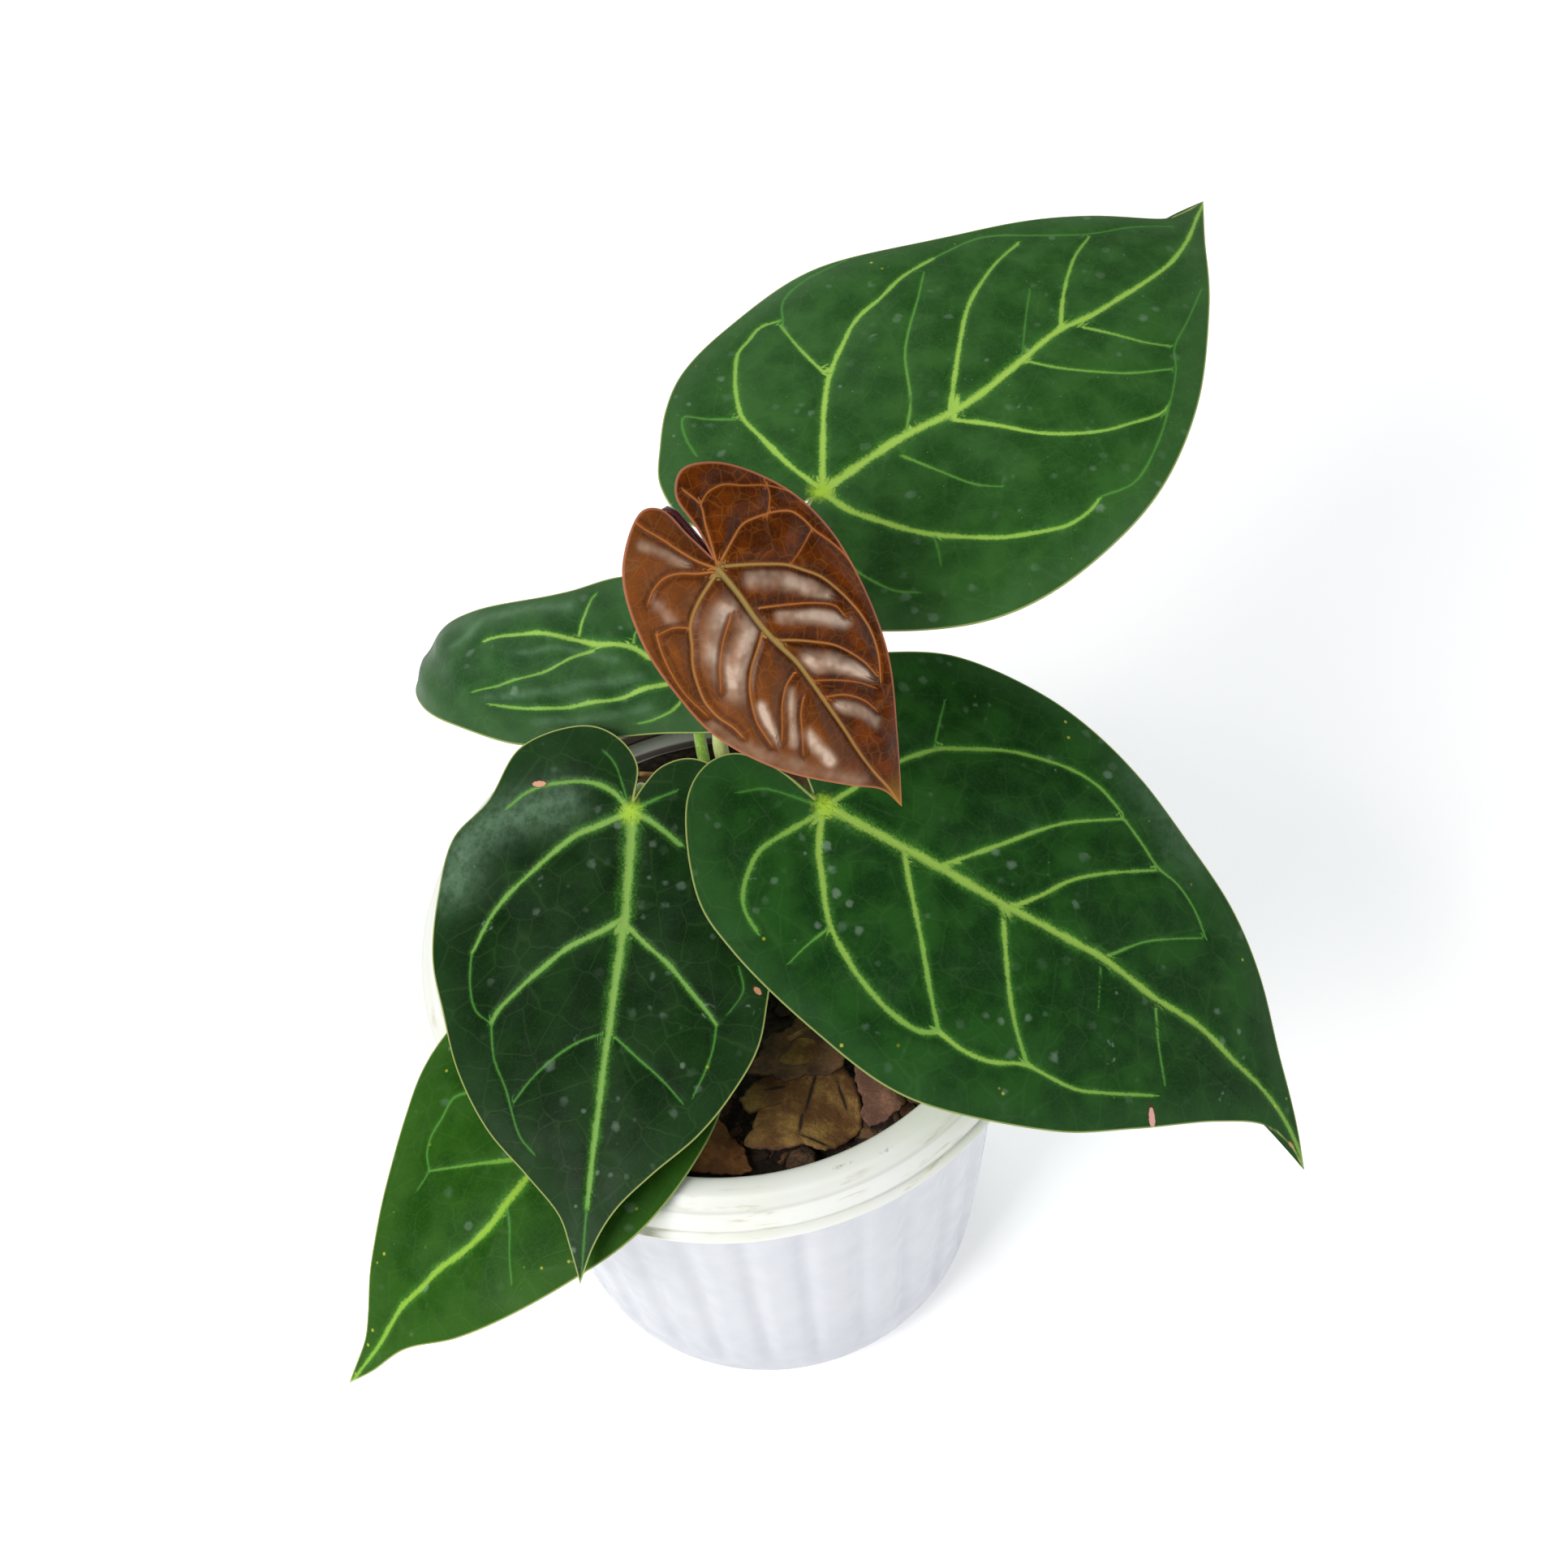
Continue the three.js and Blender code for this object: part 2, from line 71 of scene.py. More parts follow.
def flowing(points, steps):
    """A smooth line through the points, with that many steps from each to the next."""
    p = np.asarray(points, float)
    p = np.vstack([2 * p[0] - p[1], p, 2 * p[-1] - p[-2]])
    line = []
    for a, b, c, d in zip(p, p[1:], p[2:], p[3:]):
        t1 = max(np.linalg.norm(b - a), 1e-6) ** 0.5
        t2 = t1 + max(np.linalg.norm(c - b), 1e-6) ** 0.5
        t3 = t2 + max(np.linalg.norm(d - c), 1e-6) ** 0.5
        for t in np.linspace(t1, t2, steps, endpoint=False):
            ab = a + (b - a) * t / t1
            bc = b + (c - b) * (t - t1) / (t2 - t1)
            cd = c + (d - c) * (t - t2) / (t3 - t2)
            abc = ab + (bc - ab) * t / t2
            bcd = bc + (cd - bc) * (t - t1) / (t3 - t1)
            line.append(abc + (bcd - abc) * (t - t1) / (t2 - t1))
    return np.array(line + [p[-2]])


def lathe(profile, sides):
    """Points and faces of a body turned about the axis, from a profile that starts and ends on it."""
    rows, points, faces = [], [], []
    turn = np.arange(sides) * 2 * np.pi / sides
    for r, z in profile:
        if r < 1e-6:
            rows.append([len(points)] * sides)
            points.append((0, 0, z))
        else:
            rows.append(range(len(points), len(points) + sides))
            points += list(zip(r * np.cos(turn), r * np.sin(turn), np.full(sides, z)))
    for low, high in zip(rows, rows[1:]):
        for j in range(sides):
            k = (j + 1) % sides
            face = [low[j], low[k], high[k], high[j]]
            faces.append(list(dict.fromkeys(face)))
    return np.array(points), faces


def solid(name, points, faces, material):
    """A smooth closed object from points in metres; its faces are turned outwards."""
    mesh = bpy.data.meshes.new(name)
    mesh.from_pydata([tuple(p) for p in points], [], [list(f) for f in faces])
    shape = bmesh.new()
    shape.from_mesh(mesh)
    if shape.calc_volume(signed=True) < 0:
        bmesh.ops.reverse_faces(shape, faces=shape.faces)
    shape.to_mesh(mesh)
    shape.free()
    mesh.polygons.foreach_set("use_smooth", [True] * len(mesh.polygons))
    mesh.materials.append(material)
    obj = bpy.data.objects.new(name, mesh)
    bpy.context.scene.collection.objects.link(obj)
    return obj


def node(tree, kind, inputs=None, **settings):
    """Adds a node; each input is a value or another node's output."""
    made = tree.nodes.new(kind)
    for key, value in settings.items():
        setattr(made, key, value)
    for socket, value in (inputs or {}).items():
        if isinstance(value, bpy.types.NodeSocket):
            tree.links.new(value, made.inputs[socket])
        else:
            made.inputs[socket].default_value = value
    return made


def maths(tree, operation, *values):
    return node(tree, "ShaderNodeMath", dict(enumerate(values)), operation=operation).outputs[0]


def times(tree, *values):
    return maths(tree, "MULTIPLY", *values)


def plus(tree, *values):
    return maths(tree, "ADD", *values)


def less(tree, *values):
    return maths(tree, "SUBTRACT", *values)


def fade(tree, value, start, end, low=0.0, high=1.0):
    """low before start, high after end, and a soft step between."""
    inputs = {0: value, 1: start, 2: end, 3: low, 4: high}
    return node(tree, "ShaderNodeMapRange", inputs, interpolation_type="SMOOTHSTEP").outputs[0]


def mixed(tree, factor, a, b):
    """Colour a turning into colour b as factor goes from 0 to 1; a colour may be given as six hex digits."""
    inputs = {"Factor_Float": factor, "A_Color": a, "B_Color": b}
    made = node(tree, "ShaderNodeMix", None, data_type="RGBA", blend_type="MIX")
    for socket in made.inputs:
        if socket.identifier in inputs:
            value = inputs[socket.identifier]
            if isinstance(value, str):
                value = colour(value)
            if isinstance(value, bpy.types.NodeSocket):
                tree.links.new(value, socket)
            else:
                socket.default_value = value
    return next(s for s in made.outputs if s.identifier == "Result_Color")


def parts_of(tree, vector):
    return node(tree, "ShaderNodeSeparateXYZ", {0: vector}).outputs


def vectors(tree, operation, a, b):
    return node(tree, "ShaderNodeVectorMath", {0: a, 1: b}, operation=operation).outputs[0]


def scaled(tree, vector, scale):
    return node(tree, "ShaderNodeVectorMath", {0: vector, "Scale": scale}, operation="SCALE").outputs[0]


def length_of(tree, vector):
    return node(tree, "ShaderNodeVectorMath", {0: vector}, operation="LENGTH").outputs["Value"]


def stretched(tree, where, scale, **inputs):
    return node(tree, "ShaderNodeMapping", {"Vector": where, "Scale": scale, **inputs}).outputs[0]


def carried(tree, label):
    """A number that the mesh carries under that name."""
    return node(tree, "ShaderNodeAttribute", attribute_name=label).outputs["Fac"]


def cloud(tree, where, scale, detail=3.0, roughness=0.5):
    """Noise from 0 to 1 with that many cells in each unit of where, which is a metre or a centimetre."""
    inputs = {"Vector": where, "Scale": scale, "Detail": detail, "Roughness": roughness}
    return node(tree, "ShaderNodeTexNoise", inputs).outputs[0]


def cells_of(tree, where, scale, feature="F1"):
    inputs = {"Vector": where, "Scale": scale}
    return node(tree, "ShaderNodeTexVoronoi", inputs, feature=feature).outputs


def edges_of(tree, where, scale):
    """Distance to the edge of the nearest cell, for nets of fine lines."""
    return cells_of(tree, where, scale, "DISTANCE_TO_EDGE")["Distance"]


def drawn_by(tree, cells):
    """Three random numbers that every cell has of its own."""
    return node(tree, "ShaderNodeSeparateColor", {0: cells["Color"]}).outputs


def off_streak(tree, where, start, end, wide):
    """How far off a narrow ellipse between two points, which is 1 at its edge."""
    along = np.subtract(end, start)
    middle = np.add(start, end) / 2
    held = node(tree, "ShaderNodeMapping", {
        "Vector": where, "Location": (middle[0], middle[1], 0.0),
        "Rotation": (0.0, 0.0, math.atan2(along[1], along[0])),
        "Scale": (float(np.hypot(*along)) / 2, wide, 1000.0)}, vector_type="TEXTURE").outputs[0]
    return length_of(tree, held)


def colour(text):
    """A linear colour from the usual six hex digits."""
    parts = [int(text[i:i + 2], 16) / 255 for i in (0, 2, 4)]
    return [*(c / 12.92 if c < 0.04045 else ((c + 0.055) / 1.055) ** 2.4 for c in parts), 1.0]


def finish_of(name, roughness=0.5, **constants):
    """A new material, its node tree, its shader and the place on the object in metres."""
    material = bpy.data.materials.new(name)
    material.use_nodes = True
    tree = material.node_tree
    shader = tree.nodes["Principled BSDF"]
    shader.inputs["Roughness"].default_value = roughness
    for key, value in constants.items():
        shader.inputs[key.replace("_", " ")].default_value = value
    return material, tree, shader, node(tree, "ShaderNodeTexCoord").outputs["Object"]


def painted(tree, shader, tone):
    tree.links.new(tone, shader.inputs["Base Color"])


def bumped(tree, shader, height, distance, strength=1.0):
    """Raises the skin by height, which is from 0 to 1, times distance in metres."""
    inputs = {"Height": height, "Distance": distance, "Strength": strength}
    tree.links.new(node(tree, "ShaderNodeBump", inputs).outputs[0], shader.inputs["Normal"])


def geometry_tree(name, sockets):
    """A geometry node tree with a Geometry input and output and the named inputs (name: kind, value)."""
    tree = bpy.data.node_groups.new(name, "GeometryNodeTree")
    tree.interface.new_socket("Geometry", in_out="INPUT", socket_type="NodeSocketGeometry")
    for label, (kind, value) in sockets.items():
        socket = tree.interface.new_socket(label, in_out="INPUT", socket_type="NodeSocket" + kind)
        if value is not None:
            socket.default_value = value
    tree.interface.new_socket("Geometry", in_out="OUTPUT", socket_type="NodeSocketGeometry")
    return tree, tree.nodes.new("NodeGroupInput"), tree.nodes.new("NodeGroupOutput")


def real_mesh(tree, copies):
    return node(tree, "GeometryNodeRealizeInstances", {0: copies}).outputs[0]


def painted_with(tree, geometry, given):
    inputs = {"Geometry": geometry, "Material": given.outputs["Material"]}
    return node(tree, "GeometryNodeSetMaterial", inputs).outputs[0]


def from_centre(tree, given):
    """Where each point is, measured from the tree's Centre: its three parts, and the level vector."""
    place = node(tree, "GeometryNodeInputPosition").outputs[0]
    parts = parts_of(tree, vectors(tree, "SUBTRACT", place, given.outputs["Centre"]))
    return parts, node(tree, "ShaderNodeCombineXYZ", {0: parts[0], 1: parts[1]}).outputs[0]


def grown(obj, tree, **values):
    """Runs the tree on obj with these inputs and keeps the result as obj's plain mesh."""
    modifier = obj.modifiers.new(tree.name, "NODES")
    modifier.node_group = tree
    for socket in tree.interface.items_tree:
        key = socket.name.replace(" ", "_")
        if socket.in_out == "INPUT" and key in values:
            modifier[socket.identifier] = values[key]
    bpy.context.view_layer.update()
    seen = obj.evaluated_get(bpy.context.evaluated_depsgraph_get())
    mesh = bpy.data.meshes.new_from_object(seen)
    name = obj.name
    if obj.type == "MESH":
        obj.modifiers.clear()
        obj.data = mesh
        return obj
    bpy.data.objects.remove(obj)
    made = bpy.data.objects.new(name, mesh)
    bpy.context.scene.collection.objects.link(made)
    return made


def belongs(obj, slot, *nodes):
    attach(obj, "root")
    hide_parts(*nodes)


UNDER = POT_HEIGHT - LIP_DEPTH


def by_mouth(radius, *steps):
    """Points of a profile, each as how far out from the radius and how far under the mouth."""
    return [(radius + out, POT_HEIGHT - down) for out, down in steps]


inside = [(0, FOOT_HEIGHT + WALL), (BASE - 8, FOOT_HEIGHT + WALL), (BASE - 3.2, FOOT_HEIGHT + 4),
          (BASE + 0.2, FOOT_HEIGHT + 12.5), (HIP - WALL, HIP_HEIGHT), (WAIST - WALL, WAIST_HEIGHT),
          (BODY_TOP - 0.7 - WALL, UNDER - 7), (BODY_TOP - 2, UNDER - 4), (LIP - 2.7, UNDER),
          (RIM - 2.7, UNDER + 4.5), *by_mouth(RIM, (-3.2, 7.4), (-5.2, 4.4)),
          *by_mouth(MOUTH, (5.4, 2.6), (2.2, 3.4), (1.6, TURNED_LIP), (0, TURNED_LIP))]
collar_top = by_mouth(MOUTH, (0, TURNED_LIP), (0, 3), (0.7, 0.8), (2.8, 0), (6.5, 0.5))
collar_side = by_mouth(RIM, (-4.6, 1.5), (-2.0, 3.2), (-0.7, 5.6), (-0.2, 8.2), (0, 10.8), (-0.5, 12.4))
bead = by_mouth(RIM, (0.5, 13.2), (1.4, 14.0), (1.5, 15.0), (0.4, 15.9))
body = [(BODY_TOP + 0.8, UNDER - 2.4), (BODY_TOP, UNDER - 3.6), (BODY_TOP - 0.5, UNDER - 7),
        (WAIST, WAIST_HEIGHT), (HIP, HIP_HEIGHT), (BASE + 2.0, FOOT_HEIGHT + 12), (BASE, FOOT_HEIGHT + 4),
        (BASE - 4, FOOT_HEIGHT), (BASE - 20, FOOT_HEIGHT)]
outer = flowing([*collar_top, *collar_side, *bead, *body], 5)
pot_points, pot_faces = lathe([*inside, *outer[1:], (0, FOOT_HEIGHT)], POT_SIDES)

ARC = 0.09  # metres along the wall for each radian of turn
white_plastic, tree, shader, spot = finish_of("white plastic", 0.34)
middle = node(tree, "ShaderNodeMapping", {"Vector": spot, "Location": tuple(-AXIS)}).outputs[0]
across = parts_of(tree, middle)
turn = maths(tree, "ARCTAN2", across[1], across[0])
reach = maths(tree, "SQRT", plus(tree, times(tree, across[0], across[0]), times(tree, across[1], across[1])))
around = node(tree, "ShaderNodeCombineXYZ",
              {0: times(tree, turn, ARC), 1: reach, 2: across[2]}).outputs[0]
streaked = stretched(tree, around, (0.16, 1.0, 1.0))
collar = fade(tree, across[2], 0.155, 0.160)
yellowing = times(tree, collar, fade(tree, cloud(tree, around, 45, 3), 0.3, 0.7, 0.35, 1.0))
white = mixed(tree, collar, "c8cad1", "dfe1de")
white = mixed(tree, times(tree, yellowing, 0.5), white, "dcdccd")
# Painted shade darkens the groove round the collar and the angle under its bead.
for level, wide, strength in ((POT_HEIGHT - 12.0, 2.0, 0.32), (UNDER - 2.6, 2.0, 0.6)):
    off = maths(tree, "ABSOLUTE", less(tree, across[2], level / 1000))
    line = fade(tree, off, wide / 1000, 0.0, 0.0, strength)
    white = mixed(tree, line, white, "a9a89c")
grime = fade(tree, cloud(tree, streaked, 330, 4, 0.6), 0.54, 0.72)
patches = fade(tree, cloud(tree, around, 60, 2), 0.50, 0.68)
soiled = times(tree, times(tree, grime, patches), times(tree, collar, 0.75))
white = mixed(tree, soiled, white, "9c9268")
# Dark rubs on the collar: the turn in degrees, the distance from the axis and the size along and across.
RUBS = [(-74.5, 85.5, 5.0, 0.9), (-66.0, 87.0, 3.5, 0.8), (-47.5, 87.0, 8.0, 0.6)]
ragged = cloud(tree, around, 900, 3, 0.7)
for degrees, distance, long, wide in RUBS:
    centre = (math.radians(degrees) * ARC, distance / 1000, 0.0)
    size = (1000 / long, 1000 / wide, 0.0)
    far = length_of(tree, vectors(tree, "MULTIPLY", vectors(tree, "SUBTRACT", around, centre), size))
    rub = times(tree, fade(tree, far, 1.0, 0.2), fade(tree, ragged, 0.46, 0.66))
    white = mixed(tree, times(tree, rub, times(tree, collar, 0.55)), white, "716a4e")
# Inside, the wall above the mix is stained brown.
limit = fade(tree, across[2], (UNDER - 3) / 1000, UNDER / 1000, (BODY_TOP - 1.6) / 1000, (RIM - 1.8) / 1000)
within = fade(tree, less(tree, reach, limit), 0.0004, -0.0004)
within = times(tree, within, fade(tree, across[2], (UNDER - 6.5) / 1000, (UNDER - 5.5) / 1000))
within = times(tree, within,
               fade(tree, across[2], (POT_HEIGHT - 2.5) / 1000, (POT_HEIGHT - 5) / 1000, 0.0, 0.9))
white = mixed(tree, within, white, "4a3626")
low_shade = fade(tree, across[2], 0.075, 0.012, 0.0, 0.35)
white = mixed(tree, low_shade, white, "a6a8b3")
painted(tree, shader, white)
tree.links.new(fade(tree, cloud(tree, around, 120, 4), 0.3, 0.7, 0.28, 0.46), shader.inputs["Roughness"])
bumped(tree, shader, cloud(tree, spot, 300, 1), 0.00003, 0.3)

pot = solid("pot_moulding", placed(pot_points), pot_faces, white_plastic)
tree, given, result = geometry_tree("fluted pot with feet and drain holes", {
    "Centre": ("Vector", (0, 0, 0)), "Flutes": ("Float", 28.0), "Flute Depth": ("Float", 0.0008),
    "Flutes From": ("Float", 0.02), "Flutes To": ("Float", 0.155), "Feet": ("Int", 4),
    "Feet Circle": ("Float", 0.0525), "Holes": ("Int", 8), "Holes Circle": ("Float", 0.038),
    "Hole Radius": ("Float", 0.0035), "Floor": ("Float", 0.008), "Material": ("Material", None)})
xyz, flat = from_centre(tree, given)
wave = maths(tree, "COSINE", times(tree, maths(tree, "ARCTAN2", xyz[1], xyz[0]), given.outputs["Flutes"]))
groove = maths(tree, "POWER", maths(tree, "MULTIPLY_ADD", wave, -0.5, 0.5), 3.0)
low = fade(tree, xyz[2], given.outputs["Flutes From"], 0.034)
high = fade(tree, xyz[2], given.outputs["Flutes To"], 0.150)
amount = times(tree, times(tree, low, high), times(tree, groove, given.outputs["Flute Depth"]))
outwards = node(tree, "ShaderNodeVectorMath", {0: flat}, operation="NORMALIZE").outputs[0]
inwards = scaled(tree, outwards, times(tree, amount, -1.0))
fluted = node(tree, "GeometryNodeSetPosition",
              {"Geometry": given.outputs["Geometry"], "Offset": inwards}).outputs[0]


def in_a_ring(tree, shape, count, radius, lift):
    """Copies of shape round the pot's axis, each turned to face it."""
    ring = node(tree, "GeometryNodeMeshCircle", {"Vertices": count, "Radius": radius}).outputs[0]
    spot = node(tree, "GeometryNodeInputPosition").outputs[0]
    facing = node(tree, "FunctionNodeAlignRotationToVector", {"Vector": spot}, axis="X").outputs[0]
    copies = node(tree, "GeometryNodeInstanceOnPoints",
                  {"Points": ring, "Instance": shape, "Rotation": facing}).outputs[0]
    rise = node(tree, "ShaderNodeCombineXYZ", {2: lift}).outputs[0]
    shift = vectors(tree, "ADD", given.outputs["Centre"], rise)
    whole = real_mesh(tree, copies)
    return node(tree, "GeometryNodeTransform", {"Geometry": whole, "Translation": shift}).outputs[0]


rod = node(tree, "GeometryNodeMeshCylinder",
           {"Vertices": 20, "Radius": given.outputs["Hole Radius"], "Depth": 0.02}).outputs[0]
holes = in_a_ring(tree, rod, given.outputs["Holes"], given.outputs["Holes Circle"], given.outputs["Floor"])
cut = node(tree, "GeometryNodeMeshBoolean", {"Mesh 1": fluted, "Mesh 2": holes}, operation="DIFFERENCE",
           solver="EXACT")
block = node(tree, "GeometryNodeMeshCone", {"Vertices": 28, "Side Segments": 4, "Radius Top": 0.009,
                                            "Radius Bottom": 0.0068, "Depth": 0.0088}).outputs[0]
oval = node(tree, "GeometryNodeTransform", {"Geometry": block, "Scale": (0.75, 1.0, 1.0)}).outputs[0]
feet = in_a_ring(tree, oval, given.outputs["Feet"], given.outputs["Feet Circle"], 0.0)
joined = node(tree, "GeometryNodeJoinGeometry")
tree.links.new(feet, joined.inputs[0])
tree.links.new(cut.outputs[0], joined.inputs[0])
real = real_mesh(tree, joined.outputs[0])
tree.links.new(painted_with(tree, real, given), result.inputs[0])
pot = grown(pot, tree, Centre=tuple(AXIS), Flutes=float(FLUTES), Flute_Depth=FLUTE_DEPTH / 1000,
            Material=white_plastic)
belongs(pot, "pot_plastic", "pot")

# The potting mix is dark, open and damp: chopped bark and coir over a fine black crumb. It fills the
# pot to 17 mm under the mouth, and its loose top is strewn with chips and crumbs.
MIX_TOP = POT_HEIGHT - 17.0
MIX_ROWS = 46
MIX_SIDES = 150


def uneven(x, y, height):
    """Small hills and hollows from a few waves, in millimetres."""
    return height * (np.sin(x / 7.3 + 1.2) * np.cos(y / 6.1) + 0.6 * np.sin(x / 3.1 + y / 4.3)
                     + 0.4 * np.cos(y / 2.7 - x / 2.2 + 0.7))


side = [(0, FOOT_HEIGHT + 2.2), (BASE - 9, FOOT_HEIGHT + 2.2), (BASE - 4, FOOT_HEIGHT + 5),
        (HIP - 3.0, HIP_HEIGHT),
        (WAIST - 3.0, WAIST_HEIGHT),
        (BODY_TOP - 4.0, MIX_TOP - 5)]
top = [(r, MIX_TOP - (0 if r < 80 else (r - 80) * 0.25)) for r in np.linspace(BODY_TOP - 4.0, 0, MIX_ROWS)]
mix_points, mix_faces = lathe([*side, *top], MIX_SIDES)
upper = mix_points[:, 2] > MIX_TOP - 4
calm = np.clip((LIP - 9 - np.hypot(mix_points[:, 0], mix_points[:, 1])) / 8, 0, 1)
mix_points[upper, 2] += (uneven(mix_points[:, 0], mix_points[:, 1], 0.8) * calm)[upper] - 1.8

dark_mix, tree, shader, spot = finish_of("damp potting mix", 0.9)
grain = cloud(tree, spot, 420, 6, 0.65)
clods = cloud(tree, spot, 90, 3)
black = mixed(tree, fade(tree, grain, 0.42, 0.68), "1c130d", "453121")
painted(tree, shader, mixed(tree, fade(tree, clods, 0.45, 0.7, 0.0, 0.5), black, "2a1d14"))
bumped(tree, shader, grain, 0.0012, 0.9)

bark_chip, tree, shader, spot = finish_of("bark and coir", 0.85)
tone = carried(tree, "tone")
fibres = cloud(tree, spot, 700, 5, 0.7)
brown = mixed(tree, tone, "24160e", "7d5b3c")
brown = mixed(tree, fade(tree, fibres, 0.4, 0.7, 0.0, 0.6), brown, "150d08")
painted(tree, shader, brown)
bumped(tree, shader, fibres, 0.0006, 0.8)

tree, given, result = geometry_tree("strewn bits", {
    "Centre": ("Vector", (0, 0, 0)), "Radius": ("Float", 0.078), "Height": ("Float", 0.155),
    "Chips": ("Float", 9000.0), "Crumbs": ("Float", 60000.0), "Seed": ("Int", 5),
    "Material": ("Material", None)})
xyz, flat = from_centre(tree, given)
out = length_of(tree, flat)
near = node(tree, "FunctionNodeCompare", {0: out, 1: given.outputs["Radius"]},
            operation="LESS_THAN").outputs[0]
high_up = node(tree, "FunctionNodeCompare", {0: xyz[2], 1: given.outputs["Height"]},
               operation="GREATER_THAN").outputs[0]
chosen = node(tree, "FunctionNodeBooleanMath", {0: near, 1: high_up}, operation="AND").outputs[0]
joined = node(tree, "GeometryNodeJoinGeometry")
for density, subdivisions, smallest, largest, shape, offset in (
        ("Chips", 2, (0.0016, 0.0009, 0.0005), (0.0052, 0.0026, 0.0012), 0.32, 3),
        ("Crumbs", 1, (0.0004, 0.0004, 0.0003), (0.0013, 0.0010, 0.0008), 0.2, 11)):
    seed = plus(tree, given.outputs["Seed"], float(offset))
    scattered = node(tree, "GeometryNodeDistributePointsOnFaces",
                     {"Mesh": given.outputs["Geometry"], "Selection": chosen,
                      "Density": given.outputs[density], "Seed": seed})
    bit = node(tree, "GeometryNodeMeshIcoSphere", {"Radius": 1.0, "Subdivisions": subdivisions}).outputs[0]
    size = node(tree, "FunctionNodeRandomValue", {"Min": smallest, "Max": largest, "Seed": seed},
                data_type="FLOAT_VECTOR").outputs[0]
    lean = node(tree, "FunctionNodeRandomValue",
                {"Min": (-0.5, -0.5, 0), "Max": (0.5, 0.5, 6.28), "Seed": seed},
                data_type="FLOAT_VECTOR").outputs[0]
    bits = node(tree, "GeometryNodeInstanceOnPoints",
                {"Points": scattered.outputs[0], "Instance": bit, "Rotation": lean, "Scale": size}).outputs[0]
    tone = node(tree, "FunctionNodeRandomValue", {2: 0.0, 3: 1.0, "Seed": seed}, data_type="FLOAT").outputs[1]
    bits = node(tree, "GeometryNodeStoreNamedAttribute", {"Geometry": bits, "Name": "tone", "Value": tone},
                domain="INSTANCE", data_type="FLOAT").outputs[0]
    bits = real_mesh(tree, bits)
    rough = node(tree, "ShaderNodeTexNoise", {"Scale": 500.0, "Detail": 2.0}).outputs["Color"]
    rough = vectors(tree, "SUBTRACT", rough, (0.5, 0.5, 0.5))
    rough = scaled(tree, rough, shape * 0.01)
    bits = node(tree, "GeometryNodeSetPosition", {"Geometry": bits, "Offset": rough}).outputs[0]
    bits = painted_with(tree, bits, given)
    tree.links.new(bits, joined.inputs[0])
tree.links.new(given.outputs["Geometry"], joined.inputs[0])
tree.links.new(real_mesh(tree, joined.outputs[0]), result.inputs[0])
mix = solid("potting_mix_bed", placed(mix_points), mix_faces, dark_mix)
mix = grown(mix, tree, Centre=tuple(AXIS), Material=bark_chip)
belongs(mix, "potting_mix", "potting_mix")

# The short stem stands in the mix a little behind the middle. It is green-brown and ringed where
# old petioles came away, with dry papery sheaths at its foot, and it thins to the newest leaf.
stem_finish, tree, shader, spot = finish_of("ringed stem", 0.62)
height = parts_of(tree, spot)[2]
rings = maths(tree, "SINE",
              times(tree, plus(tree, height, times(tree, cloud(tree, spot, 60), 0.006)), 1400.0))
stem_colour = mixed(tree, fade(tree, cloud(tree, spot, 140, 4), 0.35, 0.65), "6f7a3e", "6a5334")
stem_colour = mixed(tree, fade(tree, rings, 0.75, 1.0, 0.0, 0.6), stem_colour, "3d2c1b")
painted(tree, shader, stem_colour)
bumped(tree, shader, plus(tree, rings, cloud(tree, spot, 500, 4)), 0.0007, 0.8)

limb_tree, given, result = geometry_tree("limb along a line", {
    "Radius": ("Float", 0.002), "Steps": ("Int", 60), "Sides": ("Int", 16), "Foot Swell": ("Float", 0.25),
    "Taper": ("Float", 0.2), "Knee From": ("Float", 0.9), "Knee Swell": ("Float", 0.25),
    "Unevenness": ("Float", 0.04), "Material": ("Material", None)})
tree = limb_tree
path = node(tree, "GeometryNodeResampleCurve",
            {"Curve": given.outputs["Geometry"], "Count": given.outputs["Steps"]}).outputs[0]
along = node(tree, "GeometryNodeSplineParameter").outputs["Factor"]
foot = fade(tree, along, 0.0, 0.22, given.outputs["Foot Swell"], 0.0)
slim = times(tree, along, times(tree, given.outputs["Taper"], -1.0))
knee = fade(tree, along, given.outputs["Knee From"], 0.99, 0.0, given.outputs["Knee Swell"])
lumps = node(tree, "ShaderNodeTexNoise", {"Scale": 90.0, "Detail": 1.0}).outputs[0]
lumps = times(tree, less(tree, lumps, 0.5), given.outputs["Unevenness"])
whole = plus(tree, plus(tree, plus(tree, 1.0, foot), plus(tree, slim, knee)), lumps)
thick = times(tree, whole, given.outputs["Radius"])
ring = node(tree, "GeometryNodeCurvePrimitiveCircle",
            {"Resolution": given.outputs["Sides"], "Radius": 1.0}).outputs[0]
path = node(tree, "GeometryNodeStoreNamedAttribute", {"Geometry": path, "Name": "run", "Value": along},
            domain="POINT", data_type="FLOAT").outputs[0]
skin = node(tree, "GeometryNodeCurveToMesh",
            {"Curve": path, "Profile Curve": ring, "Scale": thick, "Fill Caps": True}).outputs[0]
skin = node(tree, "GeometryNodeSetShadeSmooth", {0: skin}).outputs[0]
skin = real_mesh(tree, skin)
skin = painted_with(tree, skin, given)
tree.links.new(skin, result.inputs[0])


